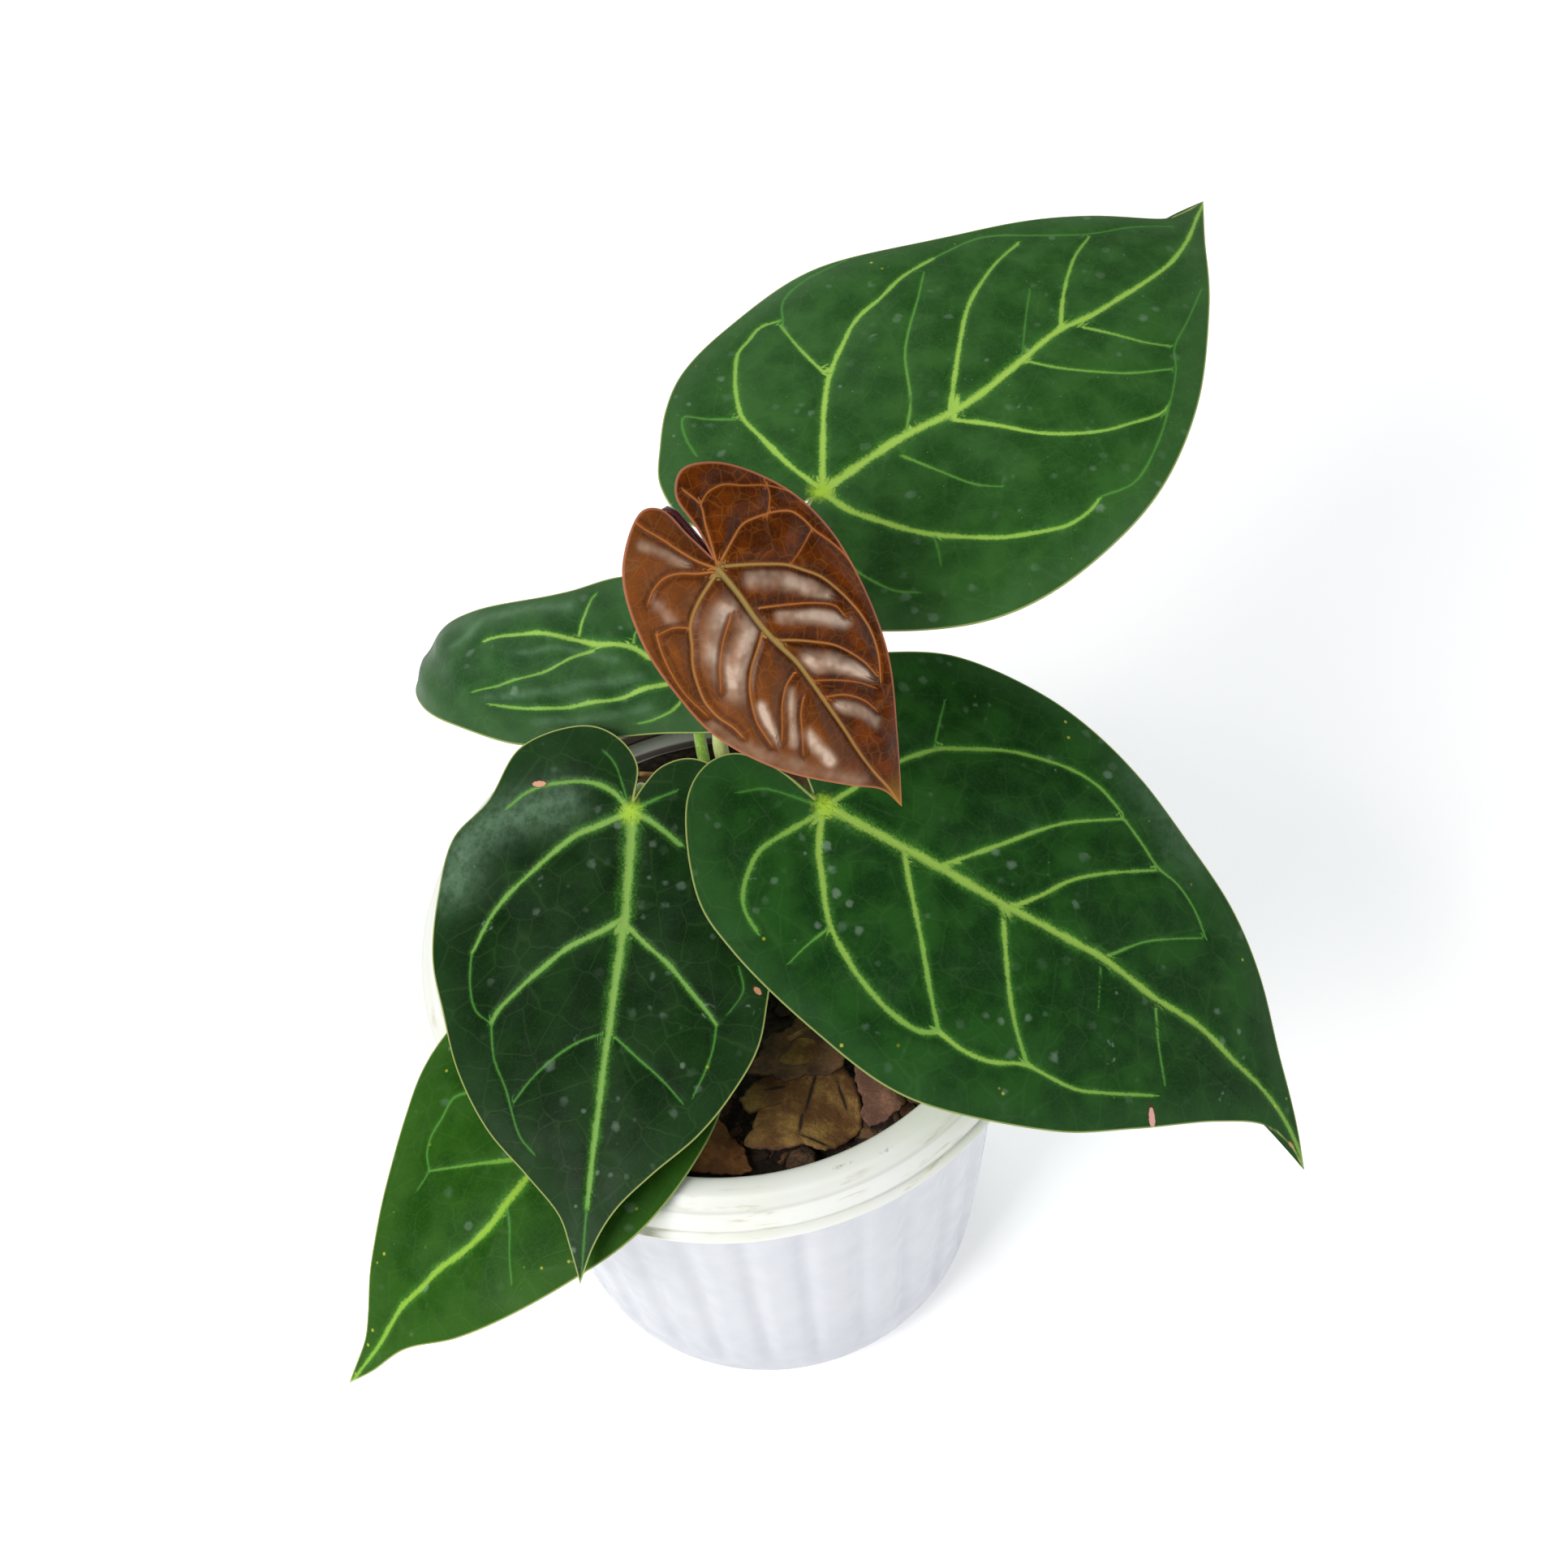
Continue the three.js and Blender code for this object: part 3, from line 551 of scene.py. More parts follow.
def limb(name, points, radius, material, **values):
    """A round limb along a smooth line through points in millimetres."""
    line = bpy.data.curves.new(name, "CURVE")
    line.dimensions = "3D"
    spline = line.splines.new("POLY")
    smooth = placed(flowing(points, 12))
    spline.points.add(len(smooth) - 1)
    spline.points.foreach_set("co", np.hstack([smooth, np.ones((len(smooth), 1))]).ravel())
    obj = bpy.data.objects.new(name, line)
    bpy.context.scene.collection.objects.link(obj)
    return grown(obj, limb_tree, Radius=radius / 1000, Material=material, **values)


def above(x, y, z):
    """A place measured from the middle of the mouth, in millimetres."""
    return np.array([x, y, z + POT_HEIGHT])


stem = limb("stem_body", [above(1, 21, -26), above(0, 20, -12), above(1, 19, -2), above(2, 20, 5)], 7.4,
            stem_finish,
            Foot_Swell=0.15, Taper=0.3, Knee_Swell=-0.35, Knee_From=0.86, Unevenness=0.35, Sides=28)
belongs(stem, "stem_green", "stem")

# Thick pale roots leave the side of the stem and dive into the mix. They are tan and felted.
ROOTS = {"left": (156, 24, -7), "front": (285, 20, -9), "right": (357, 26, -6), "back": (80, 22, -8)}
root_felt, tree, shader, spot = finish_of("felted root", 0.9)
painted(tree, shader, mixed(tree, fade(tree, cloud(tree, spot, 220, 4), 0.35, 0.65), "97855c", "6b5736"))
bumped(tree, shader, cloud(tree, spot, 900, 4), 0.0004, 0.8)
for name, (heading, reach, start) in ROOTS.items():
    c, s = math.cos(math.radians(heading)), math.sin(math.radians(heading))
    path = [above(1 + c * out, 20 + s * out, z) for out, z in
            ((5, start), (11, start - 1), (reach * 0.7, start - 8), (reach, start - 24))]
    root = limb("root_" + name + "_felted", path, 1.8, root_felt, Foot_Swell=0.1, Taper=0.5, Knee_Swell=0.0,
                Unevenness=0.3)
    belongs(root, "root_tan", "root_" + name)

# Six blades hang from their petioles: five of leathery dark green with feathered yellow-green veins
# and a thin pale margin, and one young leaf, glossy copper. Each is heart-shaped, bent down towards
# its drip tip and a little arched. Veins were read where they show in the photograph, as picture
# points, and are laid on the blade through the same camera.
CAMERA_TILT = math.radians(55.2)
CAMERA_ROLL = math.radians(-7.92)
FOCAL_PIXELS = 4215.0
PICTURE = 1932
level = np.array([1.0, 0.0, 0.0])
sight = np.array([0.0, math.cos(CAMERA_TILT), -math.sin(CAMERA_TILT)])
upright = np.cross(level, sight)
RIGHT = math.cos(CAMERA_ROLL) * level + math.sin(CAMERA_ROLL) * upright
UP = -math.sin(CAMERA_ROLL) * level + math.cos(CAMERA_ROLL) * upright
EYE = -(RIGHT * -16.0 + UP * -42.5 + sight * 1000.0)


def on_picture(points):
    """Picture points of places measured from the middle of the mouth."""
    seen = np.asarray(points) - EYE
    depth = seen @ sight
    return np.stack([PICTURE / 2 + FOCAL_PIXELS * (seen @ RIGHT) / depth,
                     PICTURE / 2 - FOCAL_PIXELS * (seen @ UP) / depth], -1)


def on_blade(leaf, along, across, lifted):
    """Places from the mouth's middle of the blade's flat points, lifted off the middle of its skin."""
    h, p, b = (math.radians(leaf[key]) for key in ("heading", "pitch", "bank"))
    forward = np.array([math.cos(h) * math.cos(p), math.sin(h) * math.cos(p), math.sin(p)])
    flat = np.array([-math.sin(h), math.cos(h), 0.0])
    sideways = flat * math.cos(b) + np.cross(forward, flat) * math.sin(b)
    outward = np.cross(forward, sideways)
    curl = math.radians(leaf["bend"]) / (leaf["length"] - leaf["bend_from"])
    turn = np.maximum(0, along - leaf["bend_from"]) * curl
    reach = np.where(turn > 0, leaf["bend_from"] + np.sin(turn) / curl, along)
    drop = np.where(turn > 0, (1 - np.cos(turn)) / curl, 0)
    s = np.clip(along / leaf["length"], 0, 1)
    from_midrib = across - 4 * leaf["sway"] * s * (1 - s)
    raised = lifted - leaf["arch"] * (from_midrib / leaf["half_width"]) ** 2
    return (np.array(leaf["at"]) + (reach + raised * np.sin(turn))[..., None] * forward
            + across[..., None] * sideways + (raised * np.cos(turn) - drop)[..., None] * outward)


def under_picture(leaf, pixels):
    """The blade's flat points that show at these picture points."""
    pixels = np.asarray(pixels, float)
    flat = np.zeros_like(pixels) + [leaf["length"] / 3, 0.0]
    for _ in range(25):
        here = on_picture(on_blade(leaf, flat[:, 0], flat[:, 1], np.zeros(len(flat))))
        step_a = on_picture(on_blade(leaf, flat[:, 0] + 0.5, flat[:, 1], np.zeros(len(flat)))) - here
        step_b = on_picture(on_blade(leaf, flat[:, 0], flat[:, 1] + 0.5, np.zeros(len(flat)))) - here
        slope = np.stack([step_a, step_b], -1) * 2
        move = np.linalg.solve(slope + np.eye(2) * 1e-6, (pixels - here)[..., None])[..., 0]
        size = np.linalg.norm(move, axis=1, keepdims=True)
        flat += move * np.minimum(1, 25 / np.maximum(size, 1e-9))
    return flat


# Each vein: half width at its start and its end in millimetres, brightness, and its picture points.
LEAVES = {
    "back_right": {
        "at": (43, 75, 102), "heading": 40.4, "pitch": 1.4, "bank": 0, "length": 173, "bend_from": 52,
        "bend": 25, "arch": 6, "sway": -6, "half_width": 70,
        "left": [(-20, 6), (-31, 20), (-26, 38), (-15, 49), (-3, 58), (10, 64), (30, 66.5), (63, 61),
                 (105, 35), (136, 16), (154, 0), (162, -1)],
        "right": [(-20, -7), (-32, -16), (-34, -31), (-22, -47), (-2, -63), (18, -71), (43, -73),
                  (68, -70), (95, -59), (129, -36), (154, -15)],
        "stalk": [(7.5, 25, -9), (8, 27, 30), (5.5, 28, 57), (16, 44, 84)], "stalk_radius": 2.4,
        "veins": [
            (1.6, 0.5, 1.0, [(1012, 606), (1065, 569), (1112, 538), (1169, 510), (1207, 486), (1254, 448),
                             (1302, 408),
                             (1340, 391), (1378, 368), (1416, 344), (1444, 322), (1463, 296), (1477, 263),
                             (1485, 248)]),
            (1.0, 0.6, 0.95, [(1013, 600), (1014, 534), (1016, 496), (1022, 462), (1036, 429), (1055, 394),
                              (1084, 368), (1112, 341), (1150, 318)]),
            (0.4, 0.3, 0.45, [(1150, 318), (1207, 294), (1283, 291), (1340, 289), (1397, 280), (1444, 280)]),
            (0.6, 0.4, 0.8, [(1016, 460), (989, 434), (963, 403), (958, 396)]),
            (0.35, 0.25, 0.4, [(965, 400), (965, 372), (989, 349), (1045, 320)]),
            (0.9, 0.5, 0.9, [(1008, 600), (970, 571), (937, 538), (915, 515), (907, 486), (906, 458),
                             (910, 434),
                             (922, 420), (937, 403), (958, 396)]),
            (0.45, 0.3, 0.5, [(910, 517), (870, 517), (842, 515), (844, 538), (858, 562)]),
            (0.45, 0.3, 0.6, [(1117, 529), (1122, 496), (1115, 439), (1119, 410), (1131, 368), (1138, 337)]),
            (0.8, 0.5, 0.9, [(1171, 505), (1176, 467), (1183, 420), (1193, 377), (1212, 344), (1231, 320),
                             (1254, 301)]),
            (0.35, 0.25, 0.4, [(1259, 443), (1264, 391), (1269, 358)]),
            (0.7, 0.4, 0.85, [(1307, 405), (1309, 372), (1316, 339), (1325, 315), (1342, 292)]),
            (1.1, 0.5, 0.95, [(1017, 609), (1046, 628), (1088, 643), (1140, 657), (1183, 661), (1235, 662),
                              (1283, 655),
                              (1316, 647), (1344, 628), (1356, 612)]),
            (0.35, 0.25, 0.45, [(1150, 659), (1156, 678), (1159, 695)]),
            (0.5, 0.3, 0.6, [(1050, 700), (1072, 714), (1103, 728), (1131, 730)]),
            (0.5, 0.3, 0.6, [(1112, 562), (1159, 581), (1202, 597), (1235, 600)]),
            (0.8, 0.4, 0.9, [(1174, 517), (1231, 524), (1278, 533), (1325, 534), (1363, 530), (1392, 522),
                             (1430, 510),
                             (1442, 496)]),
            (0.5, 0.35, 0.7, [(1269, 446), (1302, 453), (1349, 458), (1392, 460), (1444, 455)]),
            (0.55, 0.4, 0.75, [(1333, 403), (1373, 412), (1411, 422), (1444, 427)]),
            (0.35, 0.25, 0.45, [(1356, 612), (1397, 595), (1425, 550), (1442, 496), (1449, 455), (1447, 429),
                                (1463, 396), (1480, 358)]),
        ],
    },
    "young_copper": {
        "at": (13, 15, 150), "heading": -43.5, "pitch": -47.5, "bank": 15, "length": 89, "bend_from": 27,
        "bend": 20, "arch": 3, "sway": 0, "half_width": 33,
        "left": [(-12, 1.6), (-22, 2.6), (-26, 8), (-21, 17), (-4, 27), (13, 30), (30, 28), (49, 22),
                 (69, 11)],
        "right": [(-12, -1.2), (-22, -2.6), (-25, -7), (-17, -20), (1, -28), (19, -30), (34, -29),
                  (54, -21), (71, -9), (80, -2)],
        "stalk": [(3.5, 20, 2), (9, 20, 30), (12, 25, 65), (4, 35, 100), (-3, 34, 136), (-3, 27, 154),
                  (2, 26.3, 161.5)],
        "stalk_radius": 1.6, "knee_drop": 0.2,
        "veins": [
            (0.95, 0.35, 1.0, [(885, 702), (909, 731), (933, 765), (957, 792), (981, 815), (999, 839),
                               (1020, 869),
                               (1041, 899), (1059, 927), (1077, 951), (1098, 975), (1112, 998)]),
            (0.4, 0.3, 0.7, [(883, 695), (876, 670), (869, 646), (863, 622), (842, 604)]),
            (0.3, 0.2, 0.5, [(863, 622), (872, 607), (891, 597), (913, 598), (945, 598), (975, 606)]),
            (0.4, 0.25, 0.7, [(886, 695), (900, 670), (915, 646), (933, 637), (957, 630), (975, 630),
                              (990, 640),
                              (1002, 652), (1023, 667), (1041, 683), (1059, 707)]),
            (0.55, 0.3, 0.9, [(891, 698), (915, 696), (945, 695), (970, 696), (990, 702), (1011, 710),
                              (1029, 723),
                              (1047, 740), (1062, 758), (1074, 779), (1082, 806), (1085, 840)]),
            (0.35, 0.2, 0.7, [(936, 749), (981, 744), (1005, 743), (1029, 746), (1041, 758)]),
            (0.45, 0.25, 0.8, [(954, 789), (981, 789), (1005, 791), (1029, 795), (1050, 805), (1068, 818),
                               (1080, 832)]),
            (0.3, 0.2, 0.5, [(996, 839), (1029, 838), (1059, 841), (1077, 847)]),
            (0.35, 0.2, 0.6, [(1017, 859), (1041, 856), (1065, 863), (1080, 875)]),
            (0.4, 0.25, 0.7, [(882, 700), (860, 692), (839, 680), (815, 664), (794, 652), (782, 643)]),
            (0.4, 0.25, 0.7, [(882, 704), (860, 707), (836, 707), (818, 713), (805, 728), (799, 743)]),
            (0.6, 0.3, 0.9, [(883, 707), (873, 722), (862, 740), (854, 758), (851, 773), (853, 797),
                             (854, 821),
                             (860, 845), (869, 866), (885, 884), (903, 896), (915, 908)]),
            (0.3, 0.2, 0.6, [(851, 774), (830, 774), (812, 782)]),
            (0.3, 0.2, 0.5, [(900, 761), (891, 791), (887, 821), (888, 851)]),
            (0.45, 0.25, 0.8, [(940, 780), (933, 803), (927, 821), (924, 845), (927, 869), (933, 890),
                               (942, 905), (951, 918)]),
            (0.35, 0.2, 0.65, [(978, 830), (969, 845), (964, 869), (964, 893), (964, 911)]),
            (0.3, 0.2, 0.6, [(990, 860), (987, 881), (989, 905), (990, 927)]),
            (0.3, 0.2, 0.55, [(809, 782), (815, 803), (827, 830), (845, 857), (870, 881)]),
            (0.25, 0.2, 0.45, [(945, 638), (948, 610), (941, 590)]),
            (0.25, 0.2, 0.45, [(1000, 652), (985, 680), (973, 696)]),
        ],
    },
    "back_left": {
        "at": (4, 51, 58), "heading": 153.4, "pitch": 1.4, "bank": -10, "length": 120, "bend_from": 42,
        "bend": 80, "arch": 6, "sway": 0, "half_width": 50,
        "left": [(-15, 4), (-20, 10), (-12, 16), (9, 23), (31, 31), (47, 36), (70, 33), (90, 26), (108, 14)],
        "right": [(-15, -4), (-22, -12), (-18, -22), (-4, -29), (16, -29), (36, -22), (48, -14), (60, -9),
                  (80, -5),
                  (100, -3)],
        "stalk": [(-2, 28, -7), (-0.3, 34, 32), (1, 43, 48)], "stalk_radius": 2.0,
        "veins": [
            (1.2, 0.7, 1.0, [(815, 812), (800, 809), (780, 798), (759, 795), (736, 794), (716, 789),
                             (693, 785), (669, 781),
                             (649, 780), (628, 782), (610, 787), (598, 790)]),
            (0.6, 0.4, 0.8, [(713, 782), (716, 769), (721, 758), (726, 746), (730, 737), (734, 732)]),
            (0.5, 0.3, 0.7, [(780, 795), (782, 780), (787, 772)]),
            (0.7, 0.4, 0.8, [(732, 800), (713, 807), (693, 817), (669, 827), (646, 836), (623, 841),
                             (600, 848), (585, 854)]),
            (1.0, 0.5, 0.9, [(835, 838), (818, 843), (793, 850), (769, 858), (746, 864), (721, 867),
                             (695, 871), (669, 874),
                             (649, 873), (634, 871), (605, 869)]),
            (0.6, 0.4, 0.75, [(836, 867), (826, 878), (810, 886), (787, 891)]),
        ],
    },
    "front_right": {
        "at": (32, -1, 58), "heading": -35, "pitch": -21, "bank": 2, "length": 179, "bend_from": 63,
        "bend": 35, "arch": 6, "sway": 6, "half_width": 65,
        "left": [(-16, 12), (-24, 27), (-18, 44), (-7, 55), (10, 66), (38, 71), (72, 64), (97, 54), (117, 45),
                 (135, 34), (153, 19), (171, 6)],
        "right": [(-18, 2), (-29, -1), (-34, -9), (-33, -21), (-16, -43), (-1, -50), (30, -57), (64, -58),
                  (102, -43),
                  (122, -28), (143, -10), (158, 0), (169, 2)],
        "stalk": [(8.5, 14.5, -10), (16, 9, 22), (25, 4, 43)], "stalk_radius": 2.5,
        "veins": [
            (1.9, 0.7, 1.0, [(1019, 995), (1056, 1014), (1114, 1045), (1167, 1074), (1240, 1116),
                             (1309, 1153), (1361, 1182),
                             (1419, 1227), (1477, 1264), (1519, 1306), (1556, 1342), (1582, 1379),
                             (1603, 1426), (1607, 1445)]),
            (1.2, 0.9, 0.95, [(1014, 998), (1009, 1043), (1014, 1090), (1022, 1137), (1046, 1185),
                              (1072, 1221),
                              (1104, 1253), (1135, 1271), (1156, 1271)]),
            (0.9, 0.5, 0.9, [(1156, 1271), (1188, 1295), (1219, 1308), (1264, 1312), (1293, 1327),
                             (1325, 1342),
                             (1367, 1347), (1424, 1350)]),
            (0.5, 0.3, 0.6, [(1022, 1143), (993, 1166), (972, 1187)]),
            (1.1, 0.7, 0.8, [(1012, 1001), (972, 1024), (936, 1048), (920, 1080), (915, 1106), (920, 1127),
                             (933, 1148)]),
            (0.6, 0.4, 0.35, [(1010, 994), (978, 982), (941, 972), (909, 977)]),
            (1.0, 0.6, 0.85, [(1022, 990), (1051, 972), (1104, 940), (1130, 930), (1156, 923), (1198, 923),
                              (1240, 925),
                              (1283, 935), (1319, 948), (1351, 967), (1382, 1001)]),
            (0.4, 0.3, 0.5, [(1151, 922), (1156, 896), (1164, 864)]),
            (0.9, 0.5, 0.9, [(1162, 1066), (1198, 1053), (1240, 1038), (1277, 1024), (1314, 1014),
                             (1346, 1011), (1385, 1009)]),
            (0.9, 0.5, 0.9, [(1251, 1116), (1283, 1103), (1319, 1085), (1356, 1077), (1427, 1072)]),
            (0.5, 0.3, 0.6, [(1367, 1177), (1409, 1161), (1445, 1157), (1482, 1156)]),
            (0.6, 0.3, 0.65, [(1385, 1009), (1406, 1038), (1427, 1069), (1451, 1090), (1472, 1122),
                              (1485, 1156)]),
            (1.0, 0.8, 0.9, [(1114, 1048), (1122, 1095), (1135, 1158), (1146, 1221), (1156, 1269)]),
            (0.9, 0.7, 0.9, [(1235, 1116), (1239, 1169), (1243, 1216), (1251, 1264), (1264, 1308)]),
            (0.35, 0.25, 0.4, [(1356, 1190), (1353, 1243)]),
            (0.5, 0.3, 0.6, [(1424, 1243), (1427, 1285), (1435, 1337)]),
        ],
    },
    "front_left": {
        "at": (-22, 10, 52), "heading": -105, "pitch": -18, "bank": 5, "length": 133, "bend_from": 67,
        "bend": 20, "arch": 5, "sway": 0, "half_width": 52,
        "left": [(-8, 2.5), (-14, 7), (-17, 15), (-14, 24), (3, 39), (25, 45), (49, 45), (64, 44), (78, 38),
                 (90, 30),
                 (102, 18), (112, 9), (122, 3.5)],
        "right": [(-14, 0), (-22, -7), (-25, -17), (-18, -36), (-2, -44), (9, -53), (26, -55), (45, -54),
                  (61, -48),
                  (77, -41), (93, -30), (105, -17), (115, -7), (123, -3.5)],
        "stalk": [(-7, 18, -9), (-14, 20, 16), (-19, 20, 36)], "stalk_radius": 2.2,
        "veins": [
            (1.9, 0.8, 1.0, [(778, 1000), (777, 1037), (774, 1078), (771, 1120), (766, 1157), (759, 1203),
                             (752, 1258),
                             (743, 1318), (737, 1369), (731, 1415), (726, 1461), (723, 1489)]),
            (0.5, 0.3, 0.35, [(723, 1489), (719, 1540), (716, 1588)]),
            (1.0, 0.5, 0.85, [(775, 998), (759, 979), (741, 968), (718, 963), (695, 964), (670, 968),
                              (648, 977), (625, 995)]),
            (0.4, 0.3, 0.35, [(775, 995), (766, 963), (757, 940), (745, 926)]),
            (1.2, 0.6, 0.95, [(773, 1002), (741, 1016), (708, 1030), (681, 1051), (648, 1081), (621, 1108),
                              (600, 1138),
                              (586, 1166), (581, 1175)]),
            (0.4, 0.3, 0.4, [(581, 1175), (579, 1212), (586, 1245), (605, 1261)]),
            (1.1, 0.7, 0.95, [(761, 1136), (731, 1152), (699, 1168), (667, 1194), (639, 1219), (614, 1245),
                              (605, 1261)]),
            (0.4, 0.3, 0.4, [(605, 1261), (609, 1305), (623, 1341), (641, 1401), (658, 1422)]),
            (0.45, 0.3, 0.5, [(748, 1272), (713, 1284), (681, 1305), (653, 1332), (632, 1360)]),
            (1.1, 0.8, 0.9, [(782, 1002), (805, 1014), (838, 1041)]),
            (0.6, 0.4, 0.5, [(787, 995), (810, 984), (833, 975)]),
            (0.9, 0.6, 0.9, [(773, 1141), (796, 1164), (824, 1189), (847, 1217), (870, 1245), (883, 1263)]),
            (0.4, 0.3, 0.4, [(883, 1263), (879, 1291), (870, 1318), (854, 1351)]),
            (0.45, 0.3, 0.5, [(759, 1279), (787, 1305), (815, 1330), (840, 1358)]),
            (0.4, 0.25, 0.35, [(911, 1194), (916, 1221), (898, 1249)]),
        ],
    },
    "low_left": {
        "at": (-40, -40, 11), "heading": -143, "pitch": -12, "bank": 0, "length": 126, "bend_from": 31,
        "bend": 45, "arch": 6, "sway": 0, "half_width": 52,
        "left": [(-18, 7), (-26, 20), (-20, 32), (-8, 40), (10, 45), (33, 46), (52, 42), (70, 35), (89, 24),
                 (103, 12),
                 (116, 6)],
        "right": [(-16, -6), (-26, -18), (-22, -30), (-8, -38), (10, -41), (27, -40), (40, -37), (53, -31),
                  (68, -23),
                  (83, -15), (93, -10), (103, -4), (110, -1)],
        "stalk": [(-4, 12.5, -12), (-18, -10, -9), (-31, -28, -1)], "stalk_radius": 2.0,
        "veins": [
            (1.6, 0.6, 1.0, [(690, 1400), (647, 1453), (625, 1481), (602, 1512), (573, 1540), (541, 1564),
                             (521, 1585), (496, 1609),
                             (481, 1633), (467, 1658), (432, 1706)]),
            (0.5, 0.3, 0.5, [(576, 1346), (559, 1353), (545, 1377), (531, 1401), (526, 1422), (528, 1443),
                             (514, 1467)]),
            (0.8, 0.4, 0.7, [(631, 1429), (597, 1433), (562, 1438), (528, 1443)]),
            (0.4, 0.3, 0.4, [(625, 1485), (628, 1512), (628, 1547), (631, 1581)]),
        ],
    },
}
SPOKES = 380
RINGS = 66
SKIN = 0.28
FLAT_SCALE = 250.0  # millimetres of a flat blade for each unit of its map
MAP_JOINT = [0.3, 0.5]  # where the petiole joins the blade, on the map and then in centimetres
JOINT = [7.5, 12.5]


def nearest(points, start, end):
    """Distance to the nearest of the segments, which one it is, how far along it and on which side."""
    best = np.full(len(points), 1e9)
    which = np.zeros(len(points), int)
    part = np.zeros(len(points))
    side = np.ones(len(points))
    for i, (a, b) in enumerate(zip(start, end)):
        run = b - a
        length = max(run @ run, 1e-9)
        rel = points - a
        t = np.clip(rel @ run / length, 0, 1)
        away = np.hypot(*(rel - t[:, None] * run).T)
        closer = away < best
        best[closer], which[closer], part[closer] = away[closer], i, t[closer]
        side[closer] = np.sign(run[0] * rel[:, 1] - run[1] * rel[:, 0] + 1e-12)[closer]
    return best, which, part, side


def vein_measures(leaf, points):
    """For each flat point: distance to the nearest vein, its side, half width and brightness."""
    score = np.full(len(points), 1e9)
    away, side = np.full(len(points), 60.0), np.ones(len(points))
    half, light = np.full(len(points), 0.5), np.zeros(len(points))
    for first, last, bright, pixels in leaf["veins"]:
        line = flowing(under_picture(leaf, pixels), 5)
        lengths = np.append(0, np.cumsum(np.hypot(*np.diff(line, axis=0).T)))
        distance, which, part, sign = nearest(points, line[:-1], line[1:])
        run = (lengths[which] + part * np.diff(lengths)[which]) / lengths[-1]
        width = (first + (last - first) * run) * 0.8
        wins = distance - width < score
        score[wins] = (distance - width)[wins]
        away[wins], side[wins], half[wins] = distance[wins], sign[wins], width[wins]
        light[wins] = bright * (1 - 0.25 * run[wins])
    return away, side, half, light


def half_outline(leaf, side, count):
    """Evenly spaced points of one side of the outline, from the notch to the tip."""
    line = flowing([(-3, 0), *leaf[side], (leaf["length"], 0)], 24)
    run = np.append(0, np.cumsum(np.hypot(*np.diff(line, axis=0).T)))
    wanted = np.linspace(0, run[-1], count + 1)
    return np.stack([np.interp(wanted, run, line[:, 0]), np.interp(wanted, run, line[:, 1])], -1)


def blade_mesh(name, leaf, groove, quilt, material):
    """The blade as a closed skin with a fine upper side, and what its finish needs on each point."""
    left, right = half_outline(leaf, "left", SPOKES // 2), half_outline(leaf, "right", SPOKES // 2)
    outline = np.vstack([left[:-1], right[::-1][:-1]])
    middle = np.array([leaf["length"] / 4, 0.0])
    flat, faces, level = [], [], []
    for upper, rings in ((1.0, RINGS), (0.0, RINGS)):
        first = sum(map(len, flat))
        flat.append(middle[None])
        for ring in range(1, rings + 1):
            flat.append(middle + (outline - middle) * math.sin(ring / rings * math.pi / 2) ** 0.9)
        level.append(np.full(1 + rings * SPOKES, upper))
        grid = first + 1 + np.arange(rings * SPOKES).reshape(rings, SPOKES)
        around = np.roll(grid, -1, 1)
        fan = np.stack([np.full(SPOKES, first), grid[0], around[0]], -1)
        quads = np.stack([grid[:-1], grid[1:], around[1:], around[:-1]], -1).reshape(-1, 4)
        if upper:
            fan, quads, rim = fan[:, ::-1], quads[:, ::-1], grid[-1]
        faces += fan.tolist() + quads.tolist()
    edge = grid[-1]
    faces += np.stack([rim, np.roll(rim, -1), np.roll(edge, -1), edge], -1).tolist()
    flat, upper = np.vstack(flat), np.concatenate(level)
    margin = nearest(flat, outline, np.roll(outline, -1, 0))[0]
    away, side, half, light = vein_measures(leaf, flat)
    half = half * leaf.get("broad", 1.0)
    sunk = groove * np.exp(-((away / (half + 0.5)) ** 2)) * np.minimum(1, light * 1.2)
    raised = quilt * (1 - np.exp(-((away / leaf.get("swell", 7.0)) ** 2)))
    # Painted sheen: how much paler each point is painted near the sheen lines.
    sheen = np.zeros(len(flat))
    for wide, strength, pixels in leaf.get("sheens", ()):
        line = flowing(under_picture(leaf, pixels), 4)
        off = nearest(flat, line[:-1], line[1:])[0]
        sheen = np.maximum(sheen, strength * np.exp(-((off / wide) ** 2)))
    settle = np.clip(margin / 6, 0, 1)
    ripple = leaf.get("ripple", 0.0) * np.sin(flat @ np.array(leaf.get("ripple_run", (0, 0)))) * settle
    wave = 0.5 * np.sin(flat[:, 0] / 9 + 1.3 * np.sign(flat[:, 1])) * np.exp(-margin / 7)
    relief = (raised - sunk) * settle + ripple + wave * np.clip(np.abs(flat[:, 1]) / 20, 0, 1)
    taper = SKIN * (0.45 + 0.55 * np.clip(margin / 4, 0, 1))
    lifted = relief + np.where(upper > 0.5, taper, -taper)
    points = placed(on_blade(leaf, flat[:, 0], flat[:, 1], lifted) + [0, 0, POT_HEIGHT])
    obj = solid(name, points, faces, material)
    mesh = obj.data
    for label, values in (("vein_side", away * side), ("vein_away", away), ("vein_half", half),
                          ("vein_light", light), ("margin", margin), ("upper", upper), ("sheen", sheen)):
        mesh.attributes.new(label, "FLOAT", "POINT").data.foreach_set("value", values.astype(np.float32))
    corners = np.empty(len(mesh.loops), int)
    mesh.loops.foreach_get("vertex_index", corners)
    flat_map = mesh.uv_layers.new(name="flat")
    flat_map.data.foreach_set("uv", (flat[corners] / FLAT_SCALE + MAP_JOINT).ravel())
    return obj


